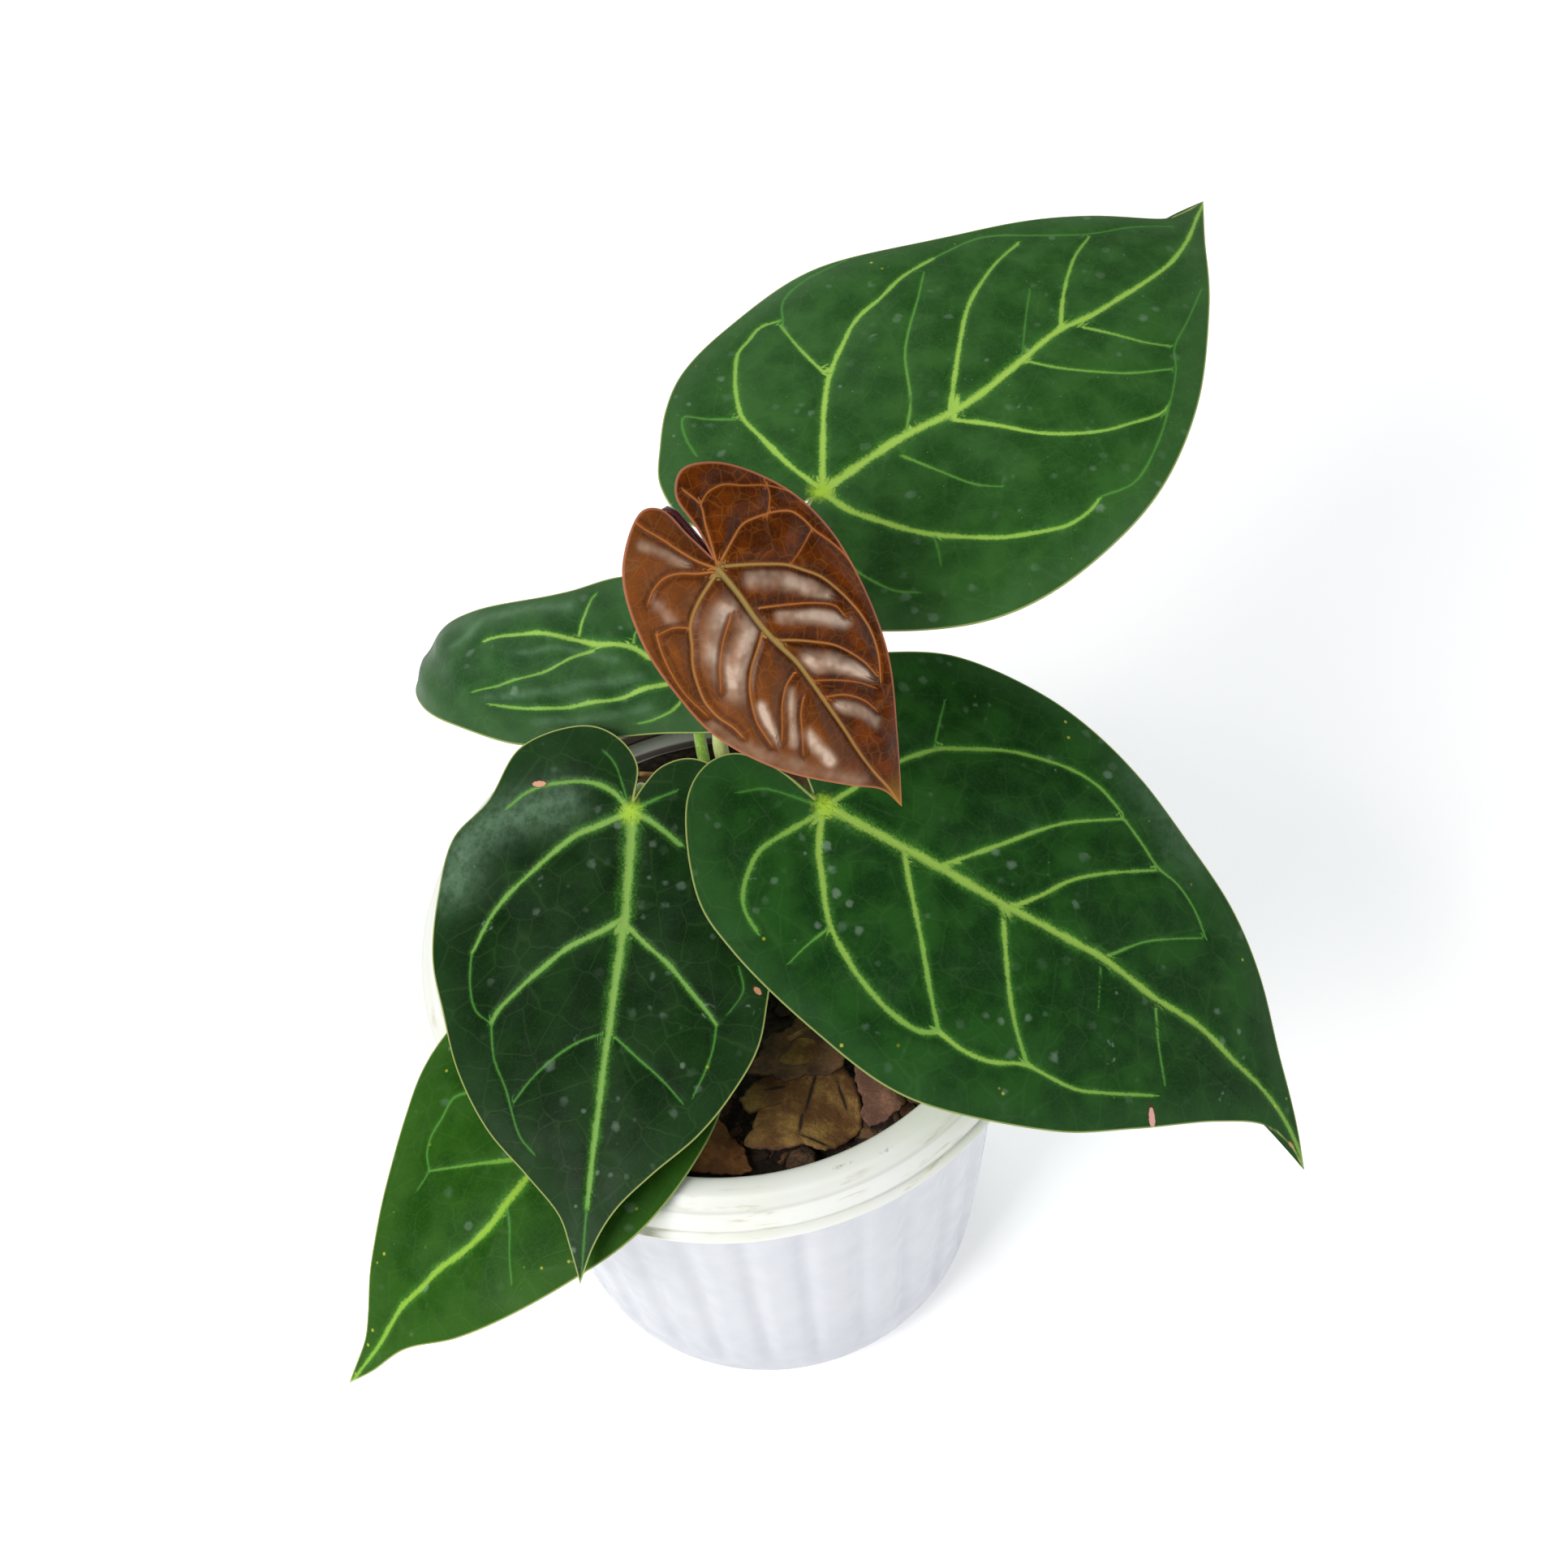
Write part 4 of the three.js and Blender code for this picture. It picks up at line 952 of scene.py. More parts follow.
def vein_group():
    """Masks of the veins and the fine net between them, from what the blade carries on its points."""
    group = bpy.data.node_groups.new("veins of a blade", "ShaderNodeTree")
    for label, value in (("Fuzz", 0.5), ("Net Cells", 26.0), ("Net Width", 0.05)):
        group.interface.new_socket(label, in_out="INPUT", socket_type="NodeSocketFloat").default_value = value
    group.interface.new_socket("Flat", in_out="OUTPUT", socket_type="NodeSocketVector")
    for label in ("Vein", "Halo", "Light", "Net", "Margin", "Upper", "Away", "Sheen"):
        group.interface.new_socket(label, in_out="OUTPUT", socket_type="NodeSocketFloat")
    given, result = group.nodes.new("NodeGroupInput"), group.nodes.new("NodeGroupOutput")
    held = {label: carried(group, label)
            for label in ("vein_side", "vein_away", "vein_half", "vein_light", "margin", "upper", "sheen")}
    where = node(group, "ShaderNodeUVMap", uv_map="flat").outputs[0]
    flat = scaled(group, where, FLAT_SCALE / 10)
    away = maths(group, "MAXIMUM", maths(group, "ABSOLUTE", held["vein_side"]),
                 less(group, held["vein_away"], 0.7))
    teeth = less(group, cloud(group, flat, 13.0, 4, 0.7), 0.5)
    broad = less(group, cloud(group, flat, 1.6, 2), 0.5)
    fuzz = times(group, plus(group, teeth, times(group, broad, 0.6)), given.outputs["Fuzz"])
    parts = maths(group, "DIVIDE", away, held["vein_half"])
    vein = fade(group, plus(group, parts, times(group, fuzz, 3.0)), 1.45, 0.3)
    halo = maths(group, "POWER", fade(group, plus(group, parts, times(group, fuzz, 7.0)), 3.8, 0.2), 1.7)
    bent = cloud(group, flat, 2.2, 2)
    bend = node(group, "ShaderNodeCombineXYZ", {0: times(group, bent, 0.22), 1: times(group, bent, -0.15)})
    shift = vectors(group, "ADD", flat, bend.outputs[0])
    width = given.outputs["Net Width"]
    net, finer = (less(group, 1.0, maths(group, "MINIMUM", 1.0, maths(
        group, "DIVIDE", edges_of(group, shift, maths(group, "DIVIDE", given.outputs["Net Cells"], coarse)),
        line)))
        for coarse, line in ((25.0, width), (9.0, times(group, width, 1.3))))
    net = maths(group, "MAXIMUM", net, times(group, finer, 0.45))
    for label, value in (("Flat", flat), ("Vein", vein), ("Halo", halo), ("Light", held["vein_light"]),
                         ("Net", net),
                         ("Margin", held["margin"]), ("Upper", held["upper"]), ("Away", away),
                         ("Sheen", held["sheen"])):
        group.links.new(value, result.inputs[label])
    return group


veins_of = vein_group()


def green_finish(name, deep, mid, pale, bloom, gold, freckles, shift, wounds=()):
    """Leathery green: deep towards the veins, greyer at the margin, with bloom, painted sheen and dried water
    marks.
    """
    material, tree, shader, spot = finish_of(name, 0.42, Specular_IOR_Level=0.05)
    held = node(tree, "ShaderNodeGroup", node_tree=veins_of)
    held.inputs["Fuzz"].default_value = 0.6
    held.inputs["Net Cells"].default_value = 24.0
    held.inputs["Net Width"].default_value = 0.035
    flat = node(tree, "ShaderNodeMapping",
                {"Vector": held.outputs["Flat"], "Location": (shift, shift * 0.7, shift)}).outputs[0]
    inner = fade(tree, cloud(tree, flat, 0.9, 3), 0.35, 0.68)
    green = mixed(tree, inner, deep, mid)
    grain = fade(tree, cloud(tree, flat, 14.0, 4, 0.7), 0.35, 0.7)
    green = mixed(tree, times(tree, grain, 0.35), green, pale)
    green = mixed(tree, fade(tree, held.outputs["Margin"], 13.0, 1.0, 0.0, 0.55), green, pale)
    halo = times(tree, held.outputs["Halo"], times(tree, held.outputs["Light"], 0.62))
    green = mixed(tree, halo, green, "4a8530")
    green = mixed(tree, times(tree, held.outputs["Net"], 0.045), green, "6d9a55")
    haze = times(tree, fade(tree, cloud(tree, flat, 0.55, 2), 0.45, 0.72), bloom * 0.04)
    green = mixed(tree, haze, green, "8aa08c")
    # Painted sheen: paler where the blade's sheen lines lie.
    gleam = times(tree, held.outputs["Sheen"],
                  fade(tree, cloud(tree, flat, 3.0, 5, 0.7), 0.25, 0.7, 0.3, 1.0))
    green = mixed(tree, gleam, green, "86a98a")
    marks = cells_of(tree, flat, 1.9)
    drawn = drawn_by(tree, marks)
    off = maths(tree, "DIVIDE", marks["Distance"], maths(tree, "MULTIPLY_ADD", drawn[0], 0.34, 0.08))
    off = plus(tree, off, maths(tree, "MULTIPLY_ADD", cloud(tree, flat, 5.0, 3), 1.2, -0.6))
    drop = times(tree, fade(tree, off, 1.0, 0.35), fade(tree, drawn[1], 0.3, 1.0, 0.0, 0.27))
    drop = times(tree, drop, fade(tree, cloud(tree, flat, 0.45, 1), 0.38, 0.62, 0.15, 1.0))
    green = mixed(tree, drop, green, "94ad98")
    rings = cells_of(tree, flat, 0.55)
    chosen = drawn_by(tree, rings)[0]
    size = maths(tree, "MULTIPLY_ADD", chosen, 0.10, 0.03)
    edge = fade(tree, maths(tree, "ABSOLUTE", less(tree, rings["Distance"], size)), 0.03, 0.0)
    edge = times(tree, edge, fade(tree, cloud(tree, flat, 4.0, 2), 0.52, 0.66, 0.0, 0.25))
    green = mixed(tree, edge, green, "a3b8ab")
    lint = cells_of(tree, flat, 3.2)
    rare = drawn_by(tree, lint)[2]
    dust = times(tree, fade(tree, lint["Distance"], 0.06, 0.03), fade(tree, rare, 0.90, 0.94, 0.0, 0.45))
    green = mixed(tree, dust, green, "b9c6b6")
    bright = mixed(tree, fade(tree, held.outputs["Light"], 0.35, 1.0), "4d8a3c", gold)
    strength = times(tree, held.outputs["Vein"], fade(tree, held.outputs["Light"], 0.0, 0.9, 0.25, 1.0))
    green = mixed(tree, strength, green, bright)
    joint = node(tree, "ShaderNodeVectorMath", {0: held.outputs["Flat"], 1: (*JOINT, 0.0)},
                 operation="DISTANCE")
    burst = plus(tree, joint.outputs["Value"],
                 maths(tree, "MULTIPLY_ADD", cloud(tree, flat, 9.0, 3), 0.5, -0.25))
    green = mixed(tree, fade(tree, burst, 0.5, 0.0, 0.0, 0.75), green, "a4c634")
    specks = cells_of(tree, flat, 2.2)
    picked = drawn_by(tree, specks)[1]
    speck = times(tree, fade(tree, specks["Distance"], 0.15, 0.06),
                  fade(tree, picked, 1 - freckles, 1.0 - freckles + 0.02))
    speck = times(tree, speck, fade(tree, held.outputs["Margin"], 14.0, 6.0))
    green = mixed(tree, times(tree, speck, 0.7), green, "b9b93c")
    for start, end, wide, tone in wounds:
        off = off_streak(tree, held.outputs["Flat"], start, end, wide)
        off = plus(tree, off, maths(tree, "MULTIPLY_ADD", cloud(tree, flat, 9.0, 3), 0.8, -0.4))
        green = mixed(tree, fade(tree, off, 1.5, 1.1, 0.0, 0.6), green, "41361a")
        green = mixed(tree, fade(tree, off, 1.05, 0.8, 0.0, 0.95), green, tone)
    green = mixed(tree, fade(tree, held.outputs["Margin"], 0.55, 0.15, 0.0, 0.7), green, "a9b268")
    below = mixed(tree, times(tree, held.outputs["Vein"], 0.7), "6f9357", "a9bf78")
    below = mixed(tree, times(tree, held.outputs["Net"], 0.35), below, "87a868")
    painted(tree, shader, mixed(tree, held.outputs["Upper"], below, green))
    wet = fade(tree, cloud(tree, flat, 1.1, 3), 0.35, 0.7, 0.34, 0.5)
    tree.links.new(plus(tree, wet, times(tree, drop, 0.5)), shader.inputs["Roughness"])
    skin = cloud(tree, flat, 26.0, 2)
    relief = plus(tree, times(tree, skin, 0.3), times(tree, held.outputs["Net"], -0.25))
    bumped(tree, shader, relief, 0.00018, 0.7)
    return material


# Each: deep, middle and pale green, bloom, vein tone, share of yellow specks and shift of the patterns.
GREENS = {
    "back_right": ("1c4414", "2f5a23", "3a5e31", 0.35, "9cc252", 0.04, 3.1),
    "back_left": ("1e421d", "31562b", "3f5d39", 0.45, "96ba58", 0.0, 7.7),
    "front_right": ("0e300b", "204a17", "294b25", 0.30, "8aac4a", 0.22, 12.9),
    "front_left": ("081e06", "122d0d", "1b3717", 0.35, "7a9e4c", 0.05, 19.3),
    "low_left": ("163e05", "26500f", "33591c", 0.25, "88b03c", 0.40, 26.1),
}
copper, tree, shader, spot = finish_of("young copper leaf", 0.28, Specular_IOR_Level=0.09)
held = node(tree, "ShaderNodeGroup", node_tree=veins_of)
held.inputs["Fuzz"].default_value = 0.10
held.inputs["Net Cells"].default_value = 62.0
held.inputs["Net Width"].default_value = 0.05
flat = held.outputs["Flat"]
across = parts_of(tree, flat)
brown = mixed(tree, fade(tree, cloud(tree, flat, 1.5, 3), 0.35, 0.7), "3c1700", "5e2900")
# Painted light: one half of the young blade is painted paler and warmer, as if lit.
painted_lit_half = fade(tree, across[1], 12.9, 11.2)
brown = mixed(tree, times(tree, painted_lit_half, 0.4), brown, "84502a")
brown = mixed(tree, times(tree, held.outputs["Halo"], 0.4), brown, "8a4a1a")
# Painted sheen on the quilted panels along the blade's sheen lines, with a painted highlight at their
# middles.
gleam = times(tree, held.outputs["Sheen"], fade(tree, held.outputs["Away"], 0.5, 2.2, 0.35, 1.0))
gleam = times(tree, gleam, fade(tree, cloud(tree, flat, 1.4, 2, 0.6), 0.3, 0.66, 0.6, 1.05))
gleam = fade(tree, gleam, 0.04, 0.92, 0.0, 0.86)
# Painted shade: a dark band beside each vein, where the quilted skin dips.
vein_groove_shade = fade(tree, maths(tree, "ABSOLUTE", less(tree, held.outputs["Away"], 1.3)), 1.0, 0.0, 0.0, 0.4)
brown = mixed(tree, vein_groove_shade, brown, "250c01")
brown = mixed(tree, gleam, brown, "b89e88")
brown = mixed(tree, fade(tree, gleam, 0.5, 1.0, 0.0, 0.5), brown, "cfbcae")
brown = mixed(tree, times(tree, held.outputs["Net"], 0.22), brown, "96622a")
brown = mixed(tree, fade(tree, held.outputs["Margin"], 0.8, 0.2, 0.0, 0.75), brown, "a8694c")
rib = mixed(tree, fade(tree, held.outputs["Light"], 0.6, 1.0), "ad6c38", "94834a")
brown = mixed(tree, times(tree, held.outputs["Vein"],
                          fade(tree, held.outputs["Light"], 0.2, 0.9, 0.4, 0.95)), brown, rib)
tip = fade(tree, across[0], 15.0, 16.6)
brown = mixed(tree, times(tree, tip, 0.6), brown, "a87a2e")
below = mixed(tree, held.outputs["Vein"], "a87662", "c79a6a")
painted(tree, shader, mixed(tree, held.outputs["Upper"], below, brown))
tree.links.new(fade(tree, cloud(tree, flat, 2.0, 3), 0.3, 0.7, 0.2, 0.3), shader.inputs["Roughness"])
wrinkle = stretched(tree, flat, (3.2, 1.0, 1.0), Rotation=(0, 0, 0.5))
relief = plus(tree, cloud(tree, wrinkle, 0.8, 1), times(tree, held.outputs["Net"], -0.04))
bumped(tree, shader, relief, 0.0008, 0.4)

# Painted sheen, where a blade is painted paler as if its glossy skin caught a reflection: how wide in
# millimetres, how strong, and its picture points.
LEAVES["young_copper"].update(swell=4.5, sheens=[
    (3.0, 0.70, [(925, 712), (975, 716), (1015, 735)]), (2.4, 0.80, [(962, 758), (1000, 757), (1040, 765)]),
    (3.0, 0.85, [(990, 815), (1030, 818), (1072, 832)]), (2.2, 0.70, [(1030, 868), (1058, 874), (1076, 886)]),
    (4.2, 0.80, [(893, 752), (880, 800), (905, 850)]), (3.8, 0.75, [(925, 765), (915, 800), (905, 840)]),
    (2.0, 0.95, [(935, 872), (945, 895), (955, 912)]), (2.2, 0.95, [(992, 905), (1005, 920), (1018, 936)]),
    (2.0, 0.65, [(970, 850), (975, 885), (978, 915)]), (1.8, 0.55, [(790, 672), (815, 682), (845, 695)]),
    (1.8, 0.55, [(805, 745), (818, 756), (830, 770)]),
    (3.2, 0.40, [(880, 895), (930, 925), (990, 945), (1060, 962)])])
LEAVES["front_left"].update(sheens=[(7.0, 0.34, [(560, 1090), (580, 1040), (620, 1010), (690, 990)]),
                                    (2.6, 0.22, [(575, 1060), (600, 1020), (650, 1000)])])
LEAVES["front_right"].update(sheens=[(9.0, 0.22, [(1420, 960), (1470, 1040)])])
LEAVES["back_right"].update(broad=1.22, sheens=[(9.0, 0.30, [(930, 350), (1010, 300), (1090, 270)]),
                                                (7, 0.2, [(1380, 700), (1450, 640)])])
LEAVES["back_left"].update(ripple=0.6, ripple_run=(0.28, 0.36), sheens=[
    (2.0, 0.20, [(560, 800), (600, 765), (660, 750), (700, 748)]),
    (1.2, 0.18, [(640, 805), (700, 800), (760, 815)]),
    (1.4, 0.20, [(600, 860), (660, 855), (720, 845), (790, 835)]),
    (1.3, 0.16, [(660, 890), (740, 885), (800, 872)])])
# Old wounds on the blades: picture points of the two ends, half width in centimetres and tone.
WOUNDS = {
    "front_left": [((656, 966), (673, 966), 0.09, "c9977c"), ((930, 1217), (938, 1226), 0.08, "b98a6a")],
    "front_right": [((1417, 1363), (1420, 1392), 0.10, "d6a295"),
                    ((1587, 1407), (1594, 1415), 0.06, "b98a5a")],
}
for name, leaf in LEAVES.items():
    if name == "young_copper":
        blade = blade_mesh("blade_" + name + "_skin", leaf, 0.8, 2.3, copper)
        belongs(blade, "blade_copper", "blade_" + name)
    else:
        wounds = [(*(under_picture(leaf, ends) / 10 + JOINT), wide, tone)
                  for *ends, wide, tone in WOUNDS.get(name, ())]
        finish = green_finish(name.replace("_", " ") + " leaf", *GREENS[name], wounds)
        blade = blade_mesh("blade_" + name + "_skin", leaf, 0.45, 0.5, finish)
        belongs(blade, "blade_green", "blade_" + name)

# Each petiole is a round stalk that leaves a slit in the stem and ends in a thicker knee under its
# blade. The old ones are pale green with faint lengthwise lines, and the young one is dark red above.
def stalk_finish(name, foot, head, knee, roughness, streak="e2e6b0", speck="5f6a32"):
    material, tree, shader, spot = finish_of(name, roughness)
    run = carried(tree, "run")
    skin = mixed(tree, fade(tree, run, 0.1, 0.7), foot, head)
    skin = mixed(tree, fade(tree, run, 0.86, 0.97), skin, knee)
    long = stretched(tree, spot, (1.0, 1.0, 0.08))
    skin = mixed(tree, fade(tree, cloud(tree, long, 1500, 3), 0.45, 0.7, 0.0, 0.3), skin, streak)
    skin = mixed(tree, fade(tree, cloud(tree, spot, 260, 3), 0.62, 0.75, 0.0, 0.35), skin, speck)
    painted(tree, shader, skin)
    bumped(tree, shader, cloud(tree, long, 1500, 3), 0.0002, 0.5)
    return material


green_stalk = stalk_finish("green petiole", "57801c", "7fa636", "9ab452", 0.4)
pale_stalk = stalk_finish("pale petiole", "8c9a50", "b8c47e", "b3bf74", 0.45)
KNEE_GAP = 0.8
red_stalk = stalk_finish("dark red petiole", "6d6a34", "4a1418", "38080e", 0.22, "7a2c34", "2a070a")
for name, leaf in LEAVES.items():
    r = leaf["stalk_radius"]
    ends = on_blade(leaf, np.array([-9.0, -1.0]), np.zeros(2),
                    np.array([-r * 1.3 - leaf.get("knee_drop", 3), -r * 1.15]) - KNEE_GAP)
    path = [above(*p) for p in leaf["stalk"]] + [p + [0, 0, POT_HEIGHT] for p in ends]
    finish = red_stalk if name == "young_copper" else pale_stalk if name == "back_right" else green_stalk
    petiole = limb("petiole_" + name + "_stalk", path, r, finish, Steps=90, Sides=20, Unevenness=0.06,
                   Taper=0.2)
    belongs(petiole, "petiole_red" if name == "young_copper" else "petiole_green", "petiole_" + name)

# Dry leaves that fell or were laid on the mix: thin, brittle, torn and curled, in tans and browns.
# Those that show in the photograph keep the outlines that they have there.
TORN_SPOKES = 150
TORN_RINGS = 14
TORN_THICKNESS = 0.5
# Each: place, half length, half width, heading, tilt, curl, the seed of its torn edge, and two tones.
DRY_LEAVES = {
    "big": (33, -50, 25, 14, 60, 5, 4, 1, "a07c40", "643f1c"),
    "left": (0, -64, 13, 8, 75, -6, 3, 4, "b0743c", "744624"),
    "pink": (55, -33, 17, 9, 100, 8, 4, 2, "8f6450", "5f3d2f"),
    "under": (18, -38, 16, 10, 20, 0, 2, 5, "7d5839", "4c3322"),
    "back": (-22, 58, 20, 9, 15, 5, 2, 3, "5a3f2a", "37251a"),
    "right": (58, 20, 18, 11, 120, -5, 3, 6, "7d5c40", "533826"),
    "west": (-58, 12, 17, 10, 70, 5, 2, 7, "6d4f3a", "463024"),
    "small": (30, 58, 12, 7, -30, 6, 2, 8, "82603f", "553a26"),
}
TORN_OUTLINES = {
    "big": [(912, 1363), (930, 1343), (945, 1330), (968, 1303), (985, 1283), (997, 1271), (1013, 1280),
            (1030, 1300),
            (1047, 1323), (1057, 1340), (1063, 1373), (1058, 1392), (1032, 1413), (1015, 1419), (986, 1414),
            (978, 1420),
            (957, 1424), (921, 1422), (918, 1413), (927, 1400), (932, 1386), (937, 1373), (926, 1381),
            (917, 1374)],
    "left": [(846, 1449), (862, 1420), (880, 1388), (886, 1381), (899, 1398), (917, 1413), (923, 1433),
             (927, 1444),
             (906, 1449), (880, 1452)],
    "pink": [(1056, 1312), (1078, 1323), (1100, 1338), (1122, 1352), (1112, 1371), (1094, 1388), (1072, 1398),
             (1062, 1384), (1064, 1362), (1054, 1340)],
}


# Creases that show in the photograph, as pairs of picture points; painted shade marks each one.
CREASES = {"big": [((1008, 1322), (989, 1384)), ((990, 1372), (985, 1405)), ((982, 1402), (1028, 1415)),
                   ((940, 1352), (975, 1345)), ((1030, 1330), (1046, 1372))]}


def on_level(pixels, level):
    """Points of a level plane that show at these picture points, in millimetres from the pot's axis."""
    rays = [RIGHT * (u - PICTURE / 2) / FOCAL_PIXELS - UP * (v - PICTURE / 2) / FOCAL_PIXELS + sight
            for u, v in pixels]
    return np.array([EYE + ray * (level - EYE[2]) / ray[2] for ray in rays])[:, :2]


def dry_finish(name, light, dark, shift, creases=()):
    material, tree, shader, spot = finish_of(name, 0.78)
    place = node(tree, "ShaderNodeMapping", {"Vector": spot, "Location": (shift, -shift, 0)}).outputs[0]
    blotch = fade(tree, cloud(tree, place, 95, 5, 0.65), 0.38, 0.62)
    brown = mixed(tree, blotch, light, dark)
    ribs = edges_of(tree, place, 210.0)
    brown = mixed(tree, fade(tree, ribs, 0.04, 0.0, 0.0, 0.12), brown, dark)
    mould = fade(tree, cloud(tree, place, 320, 3, 0.7), 0.62, 0.72, 0.0, 0.75)
    brown = mixed(tree, mould, brown, "2c1c12")
    fine = fade(tree, cloud(tree, place, 900, 4, 0.7), 0.40, 0.62, 0.0, 0.45)
    brown = mixed(tree, fine, brown, dark)
    # Painted shade along each crease: a dark band and a darker line at its middle.
    for start, end in creases:
        off = off_streak(tree, spot, start, end, 0.0006)
        off = plus(tree, off, maths(tree, "MULTIPLY_ADD", cloud(tree, place, 500, 3), 0.7, -0.35))
        brown = mixed(tree, fade(tree, off, 2.6, 0.9, 0.0, 0.45), brown, dark)
        brown = mixed(tree, fade(tree, off, 1.1, 0.5, 0.0, 0.9), brown, "1c110a")
    rim = carried(tree, "rim")
    brown = mixed(tree, fade(tree, rim, 0.93, 1.0, 0.0, 0.55), brown, "3a2416")
    painted(tree, shader, brown)
    bumped(tree, shader, plus(tree, cloud(tree, place, 240, 5, 0.6), fade(tree, ribs, 0.0, 0.08, 0.0, 0.1)),
           0.0008, 0.7)
    return material


for name, (x, y, long, wide, heading, tilt, curl, torn, light, dark) in DRY_LEAVES.items():
    low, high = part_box("dry_leaf_" + name)
    c, s = math.cos(math.radians(heading)), math.sin(math.radians(heading))
    if name in TORN_OUTLINES:
        rest = (low.z + high.z) * 500 - POT_HEIGHT
        ground = on_level(TORN_OUTLINES[name], rest) - [x, y]
        edge = np.stack([ground[:, 0] * c + ground[:, 1] * s, -ground[:, 0] * s + ground[:, 1] * c], -1)
        edge = np.vstack([edge, edge[:1]])
        run = np.append(0, np.cumsum(np.hypot(*np.diff(edge, axis=0).T)))
        wanted = np.linspace(0, run[-1], TORN_SPOKES, endpoint=False)
        edge = np.stack([np.interp(wanted, run, edge[:, i]) for i in (0, 1)], -1)
        edge += 0.35 * np.stack([np.sin(wanted * 1.7 + torn) * np.sin(wanted * 0.61 + torn),
                                 np.cos(wanted * 1.3 + torn) * np.sin(wanted * 0.43 + torn)], -1)
        creases = [placed(np.column_stack([on_level(ends, rest), [0.0, 0.0]]))[:, :2]
                   for ends in CREASES.get(name, ())]
        heart = edge.mean(0)
    else:
        a = np.arange(TORN_SPOKES) / TORN_SPOKES * 2 * np.pi
        ragged = 1 + 0.1 * np.sin(3 * a + torn) + 0.09 * np.sin(7 * a + 2.3 * torn) + 0.03 * np.sin(23 * a
            + torn)
        edge = np.stack([np.cos(a) * long * ragged, np.sin(a) * wide * ragged], -1)
        creases = ()
        heart = np.zeros(2)
    flat, faces, rim = [], [], []
    for upper in (1, 0):
        first = len(flat)
        flat.append(heart)
        rim.append(0.0)
        for ring in range(1, TORN_RINGS + 1):
            flat += list(heart + (edge - heart) * ring / TORN_RINGS)
            rim += [ring / TORN_RINGS] * TORN_SPOKES
        grid = first + 1 + np.arange(TORN_RINGS * TORN_SPOKES).reshape(TORN_RINGS, TORN_SPOKES)
        after = np.roll(grid, -1, 1)
        sheet = np.stack([np.full(TORN_SPOKES, first), grid[0], after[0]], -1).tolist()
        sheet += np.stack([grid[:-1], grid[1:], after[1:], after[:-1]], -1).reshape(-1, 4).tolist()
        faces += sheet if upper else [f[::-1] for f in sheet]
        if upper:
            top_rim = grid[-1]
    faces += np.stack([top_rim, grid[-1], np.roll(grid[-1], -1), np.roll(top_rim, -1)], -1).tolist()
    flat = np.array(flat)
    u, v = flat.T
    lift = (curl * ((u / long) ** 2 * 0.6 + (v / wide) ** 2) + 0.8 * np.sin(u / 5 + torn)
            + 0.5 * np.sin(v / 2.6 + u / 9 + torn) + math.tan(math.radians(tilt)) * v)
    half = len(flat) // 2
    room = (high.z - low.z) * 1000 + 1.0 - TORN_THICKNESS
    lift = lift.min() + room * np.tanh((lift - lift.min()) / room)
    lift[:half] += TORN_THICKNESS
    points = np.stack([x + u * c - v * s, y + u * s + v * c, lift - lift.min() + low.z * 1000], -1)
    finish = dry_finish("dry leaf " + name, light, dark, torn * 0.37, creases)
    leaf = solid("dry_leaf_" + name + "_torn", placed(points), faces, finish)
    leaf.data.attributes.new("rim", "FLOAT", "POINT").data.foreach_set("value", np.array(rim, np.float32))
    belongs(leaf, "dry_leaf", "dry_leaf_" + name)

# Chunks of bark from the mix lie loose on top, dark, layered and rounded by handling. Each takes
# the size and place of its collision shape.
chunk_finish, tree, shader, spot = finish_of("bark chunk", 0.86)
layers = stretched(tree, spot, (1.0, 1.0, 4.0))
grain = cloud(tree, layers, 380, 5, 0.65)
bark = mixed(tree, fade(tree, grain, 0.35, 0.7), "281910", "6b4a30")
painted(tree, shader, mixed(tree, fade(tree, cloud(tree, spot, 120, 3), 0.55, 0.7), bark, "83603e"))
bumped(tree, shader, grain, 0.001, 0.9)
for i in range(1, 8):
    low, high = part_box(f"bark_{i}")
    centre, half = (low + high) / 2, (high - low) / 2
    shape = bmesh.new()
    bmesh.ops.create_icosphere(shape, subdivisions=4, radius=1.0)
    for vertex in shape.verts:
        p = vertex.co.copy()
        dent = 1 + 0.13 * math.sin(5 * p.x + i) * math.cos(6 * p.y - i) + 0.07 * math.sin(13 * p.z + 9 * p.x
            + 2 * i)
        square = max(abs(p.x), abs(p.y), abs(p.z)) ** -0.45
        vertex.co = centre + Vector([p[k] * half[k] * min(dent * square * 0.86, 1.0) for k in range(3)])
    mesh = bpy.data.meshes.new(f"bark_{i}_chunk")
    shape.to_mesh(mesh)
    shape.free()
    mesh.polygons.foreach_set("use_smooth", [True] * len(mesh.polygons))
    mesh.materials.append(chunk_finish)
    chunk = bpy.data.objects.new(f"bark_{i}_chunk", mesh)
    bpy.context.scene.collection.objects.link(chunk)
    belongs(chunk, "bark", f"bark_{i}")

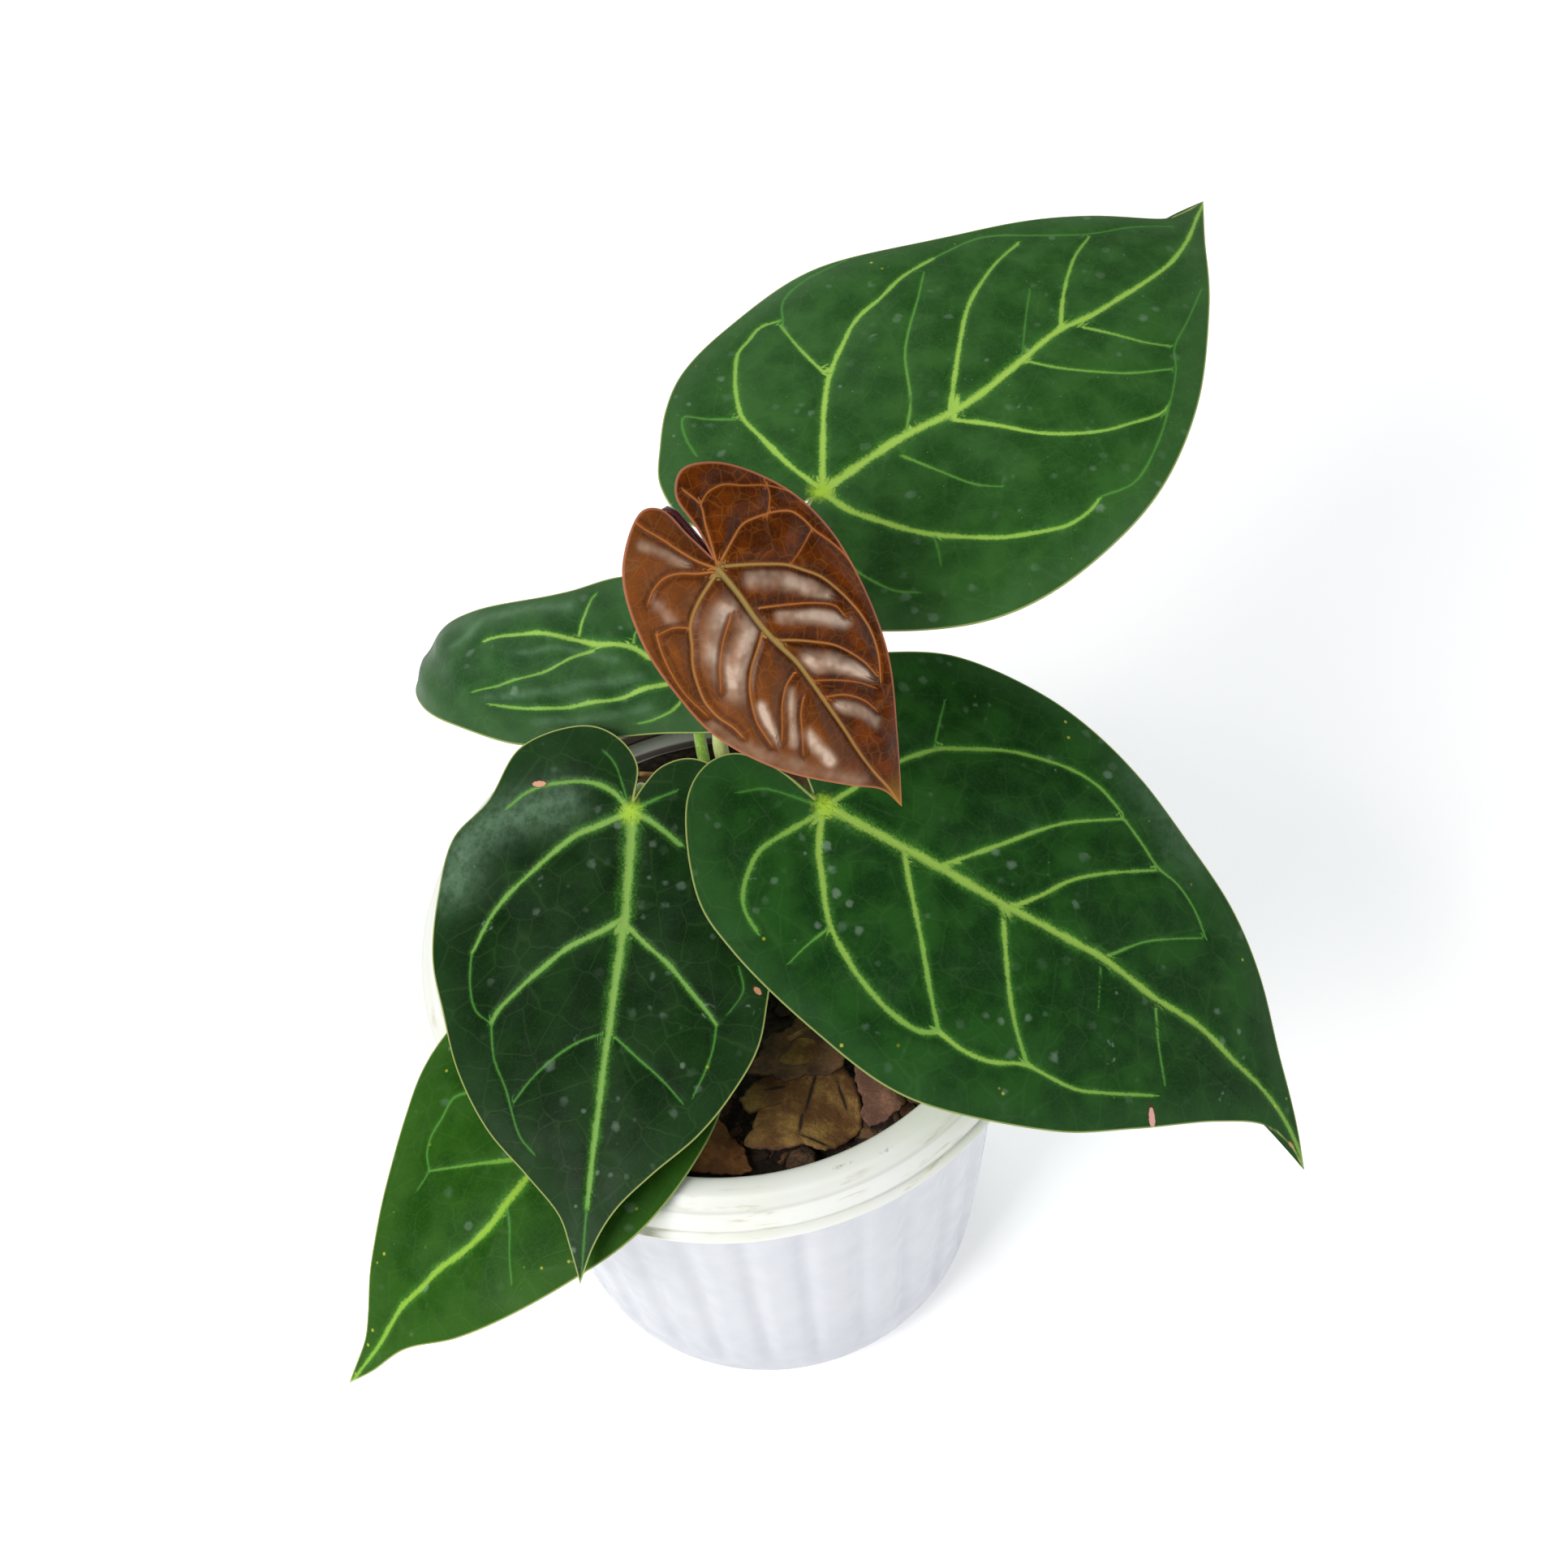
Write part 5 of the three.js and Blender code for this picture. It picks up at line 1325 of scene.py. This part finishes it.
# Dry straws and a thin twig lie across the litter. They are pale tan and split lengthwise.
TWIGS = [(26, -30, 30, 25, 0.8), (50, -44, 22, 75, 0.7), (-16, 64, 26, -12, 0.9)]
straw, tree, shader, spot = finish_of("dry straw", 0.7)
painted(tree, shader, mixed(tree, fade(tree, cloud(tree, spot, 500, 4), 0.35, 0.65), "b98c52", "7a5630"))
bumped(tree, shader, cloud(tree, spot, 1200, 3), 0.0003, 0.7)
for i, (x, y, length, heading, radius) in enumerate(TWIGS, 1):
    low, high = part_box(f"twig_{i}")
    c, s = math.cos(math.radians(heading)), math.sin(math.radians(heading))
    path = [np.array([x + c * t, y + s * t, 0.004 * t * t]) for t in np.linspace(-length / 2, length / 2, 7)]
    base = low.z * 1000 + radius
    path = [p + [0.25 * math.sin(k * 2.0 + i), 0, base] for k, p in enumerate(path)]
    twig = limb(f"twig_{i}_straw", path, radius * 0.9, straw, Foot_Swell=0.1, Taper=0.15, Knee_Swell=-0.3,
                Unevenness=0.3,
                Steps=40, Sides=12)
    belongs(twig, "twig", f"twig_{i}")

# The stage: a plain pale floor, one broad soft lamp from the upper left, a weaker one from the
# right and behind, an even pale sky, and the camera where the photograph was taken from.
floor_mesh = bpy.data.meshes.new("floor")
floor_mesh.from_pydata([(-6, -6, 0), (6, -6, 0), (6, 6, 0), (-6, 6, 0)], [], [(0, 1, 2, 3)])
floor = bpy.data.objects.new("floor", floor_mesh)
bpy.context.scene.collection.objects.link(floor)
floor_finish, tree, shader, spot = finish_of("pale floor", 0.9)
painted(tree, shader, mixed(tree, cloud(tree, spot, 2.0), "f7f7f7", "fafafa"))
shader.inputs["Emission Color"].default_value = (1.0, 1.0, 1.0, 1.0)
far = length_of(tree, spot)
tree.links.new(fade(tree, far, 0.5, 2.4, 0.3, 0.95), shader.inputs["Emission Strength"])
floor_mesh.materials.append(floor_finish)


def lamp(name, power, size, at, tint):
    light = bpy.data.lights.new(name, "AREA")
    light.energy, light.size, light.color = power, size, tint
    obj = bpy.data.objects.new(name, light)
    obj.location = at
    aim = Vector((0, 0, 0.2)) - Vector(at)
    obj.rotation_euler = aim.to_track_quat("-Z", "Y").to_euler()
    bpy.context.scene.collection.objects.link(obj)


lamp("window", 32, 0.9, (-1.0, -0.9, 1.5), (1.0, 0.99, 0.97))
lamp("back panel", 14, 1.6, (-0.7, 1.7, 1.5), (0.95, 0.98, 1.0))
lamp("right panel", 7, 1.2, (1.6, -0.3, 0.75), (0.97, 0.98, 1.0))
sky = bpy.data.worlds.new("pale sky")
bpy.context.scene.world = sky
sky.use_nodes = True
sky.node_tree.nodes["Background"].inputs[0].default_value = (0.95, 0.97, 1.0, 1.0)
sky.node_tree.nodes["Background"].inputs[1].default_value = 0.38
bpy.context.scene.view_settings.view_transform = "Standard"

camera = bpy.data.cameras.new("camera")
camera.sensor_width = 36.0
camera.lens = FOCAL_PIXELS / PICTURE * camera.sensor_width
camera.clip_start = 0.05
view = bpy.data.objects.new("camera", camera)
bpy.context.scene.collection.objects.link(view)
turned = np.eye(4)
turned[:3, 0], turned[:3, 1], turned[:3, 2] = RIGHT, UP, -sight
turned[:3, 3] = placed(EYE + [0, 0, POT_HEIGHT])
view.matrix_world = Matrix(turned.tolist())
bpy.context.scene.camera = view
